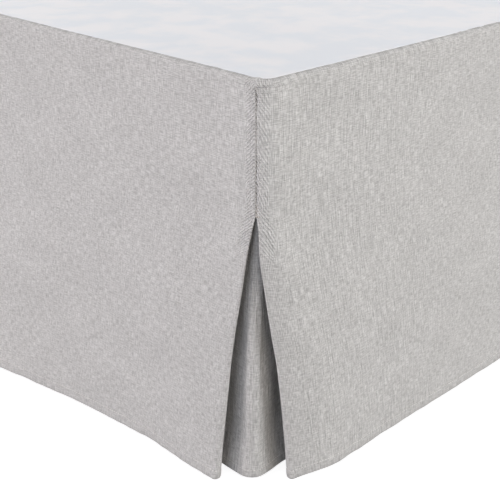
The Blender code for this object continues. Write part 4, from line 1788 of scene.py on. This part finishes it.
@dataclass
class Studio:
    """White floor, even room light, a ring of large softboxes, a light overhead, and the camera."""

    layout: Layout
    yaw: float = 44.41  # degrees from the foot panel's outward direction to the camera's view line
    pitch: float = 24.07  # degrees down
    lens: float = 69.84
    sensor: float = 36.0
    distance: float = 0.68096  # level distance from the foot corner
    rise: float = 0.5539  # height above the hem
    sideways: float = 0.01143  # how far to the left of the corner it stands
    room: float = 0.13
    floor_size: float = 40.0
    floor_gap: float = 0.05 * MM
    softbox_distance: float = 7.0
    softbox_size: tuple[float, float] = (4.2, 3.5)
    softboxes: tuple[tuple[float, float, float, str], ...] = (
        # degrees round from the camera, degrees up, power in watts, colour
        (-74.0, 12.0, 312.0, "#fff9fa"),
        (76.0, 12.0, 340.0, "#fbfbfd"),
        (-30.0, 20.0, 128.0, "#eef1ff"),
        (30.0, 20.0, 128.0, "#fff5ea"),
        (155.0, 16.0, 150.0, "#ffffff"),
        (-155.0, 16.0, 150.0, "#ffffff"),
        (0.0, 34.0, 30.0, "#ffffff"),
    )
    aim_height: float = 0.25
    overhead: tuple[float, float] = (3.0, 16.5)  # size, power in watts
    overhead_place: tuple[float, float, float] = (0.2, -0.4, 3.4)

    def directions(self) -> tuple[Vector, Vector]:
        """Level directions to the camera's right and straight ahead of it."""
        turn = math.radians(self.yaw)
        return Vector((math.sin(turn), math.cos(turn), 0.0)), Vector((-math.cos(turn), math.sin(turn), 0.0))

    def build(self, finishes: Finishes) -> None:
        """Makes the floor, the lights and the camera."""
        self.make_floor(finishes.paper)
        self.make_lights()
        self.make_camera()

    def make_floor(self, paper: bpy.types.Material) -> None:
        """Lays the floor, a little below the glides so that nothing flickers."""
        half = 0.5 * self.floor_size
        corners = ((-half, -half), (half, -half), (half, half), (-half, half))
        points = np.array([(x, y, -self.floor_gap) for x, y in corners])
        floor = new_object("floor", points, [(0, 1, 2, 3)])
        floor.data.materials.append(paper)

    def make_lights(self) -> None:
        """Sets the even room light, the softboxes round the corner and the light overhead."""
        world = bpy.data.worlds.new("room_light")
        world.use_nodes = True
        background = world.node_tree.nodes["Background"]
        background.inputs["Color"].default_value = (1.0, 1.0, 1.0, 1.0)
        seen = add_node(world.node_tree, "LightPath").outputs["Is Camera Ray"]
        strength = add_node(
            world.node_tree, "MapRange", {}, {"Value": seen, "To Min": self.room, "To Max": 1.0}
        ).outputs[0]
        world.node_tree.links.new(strength, background.inputs["Strength"])
        bpy.context.scene.world = world
        _, ahead = self.directions()
        corner = Vector((self.layout.right, self.layout.foot, self.aim_height))
        for number, (around, up, power, colour) in enumerate(self.softboxes, start=1):
            turn, lift = math.radians(around), math.radians(up)
            level = Matrix.Rotation(turn, 3, "Z") @ -ahead
            away = level * math.cos(lift) + Vector((0.0, 0.0, math.sin(lift)))
            box = self.lamp(f"softbox_{number}", power, corner + away * self.softbox_distance)
            box.data.shape = "RECTANGLE"
            box.data.size, box.data.size_y = self.softbox_size
            box.data.color = linear(colour)[:3]
            box.rotation_euler = away.to_track_quat("Z", "Y").to_euler()
        size, power = self.overhead
        self.lamp("overhead", power, Vector(self.overhead_place)).data.size = size

    @staticmethod
    def lamp(name: str, power: float, place: Vector) -> bpy.types.Object:
        """Area light that faces down and isn't seen itself."""
        data = bpy.data.lights.new(name, "AREA")
        data.energy = power
        box = bpy.data.objects.new(name, data)
        bpy.context.scene.collection.objects.link(box)
        box.location = place
        box.visible_camera = False
        return box

    def make_camera(self) -> None:
        """Sets the camera, which looks down at the right foot corner."""
        right, ahead = self.directions()
        data = bpy.data.cameras.new("camera")
        data.lens = self.lens
        data.sensor_width = self.sensor
        data.clip_start, data.clip_end = 0.01, 100.0
        camera = bpy.data.objects.new("camera", data)
        bpy.context.scene.collection.objects.link(camera)
        corner = Vector((self.layout.right, self.layout.foot, self.layout.hem))
        camera.location = corner - right * self.sideways - ahead * self.distance + Vector((0.0, 0.0, self.rise))
        tilt = math.radians(self.pitch)
        look = ahead * math.cos(tilt) - Vector((0.0, 0.0, math.sin(tilt)))
        camera.rotation_euler = look.to_track_quat("-Z", "Y").to_euler()
        bpy.context.scene.camera = camera
        bpy.context.scene.view_settings.view_transform = "Standard"


def main() -> None:
    """Builds and dresses every part, then sets up the studio."""
    logging.basicConfig(level=logging.INFO, format="%(message)s")
    layout = Layout.from_frame()
    pleat = PleatShape()
    finishes = Finishes()
    parts: list[SubAssembly] = [
        BedBase(),
        *(Leg(f"leg_{number}") for number in range(1, 7)),
        Deck(layout),
        FootPanel(layout, pleat, Side.RIGHT, "foot_panel", FOOT_DENTS, 11, FOOT_CUT),
    ]
    for side, label, dents in ((Side.RIGHT, "right", RIGHT_DENTS), (Side.LEFT, "left", LEFT_DENTS)):
        seed = 21 if side is Side.RIGHT else 41
        parts.append(SidePanel(layout, pleat, side, f"side_panel_{label}", dents, seed, SIDE_CUT))
        parts.append(PleatUnderlay(layout, pleat, side, f"pleat_underlay_{label}"))
        parts.append(CornerSeam(layout, pleat, side, f"corner_seam_{label}"))
    for part in parts:
        for piece in part.build():
            LOG.info("%s: %d faces", piece.name, len(piece.data.polygons))
        part.dress(finishes)
    Studio(layout).build(finishes)


if __name__ == "__main__":
    main()
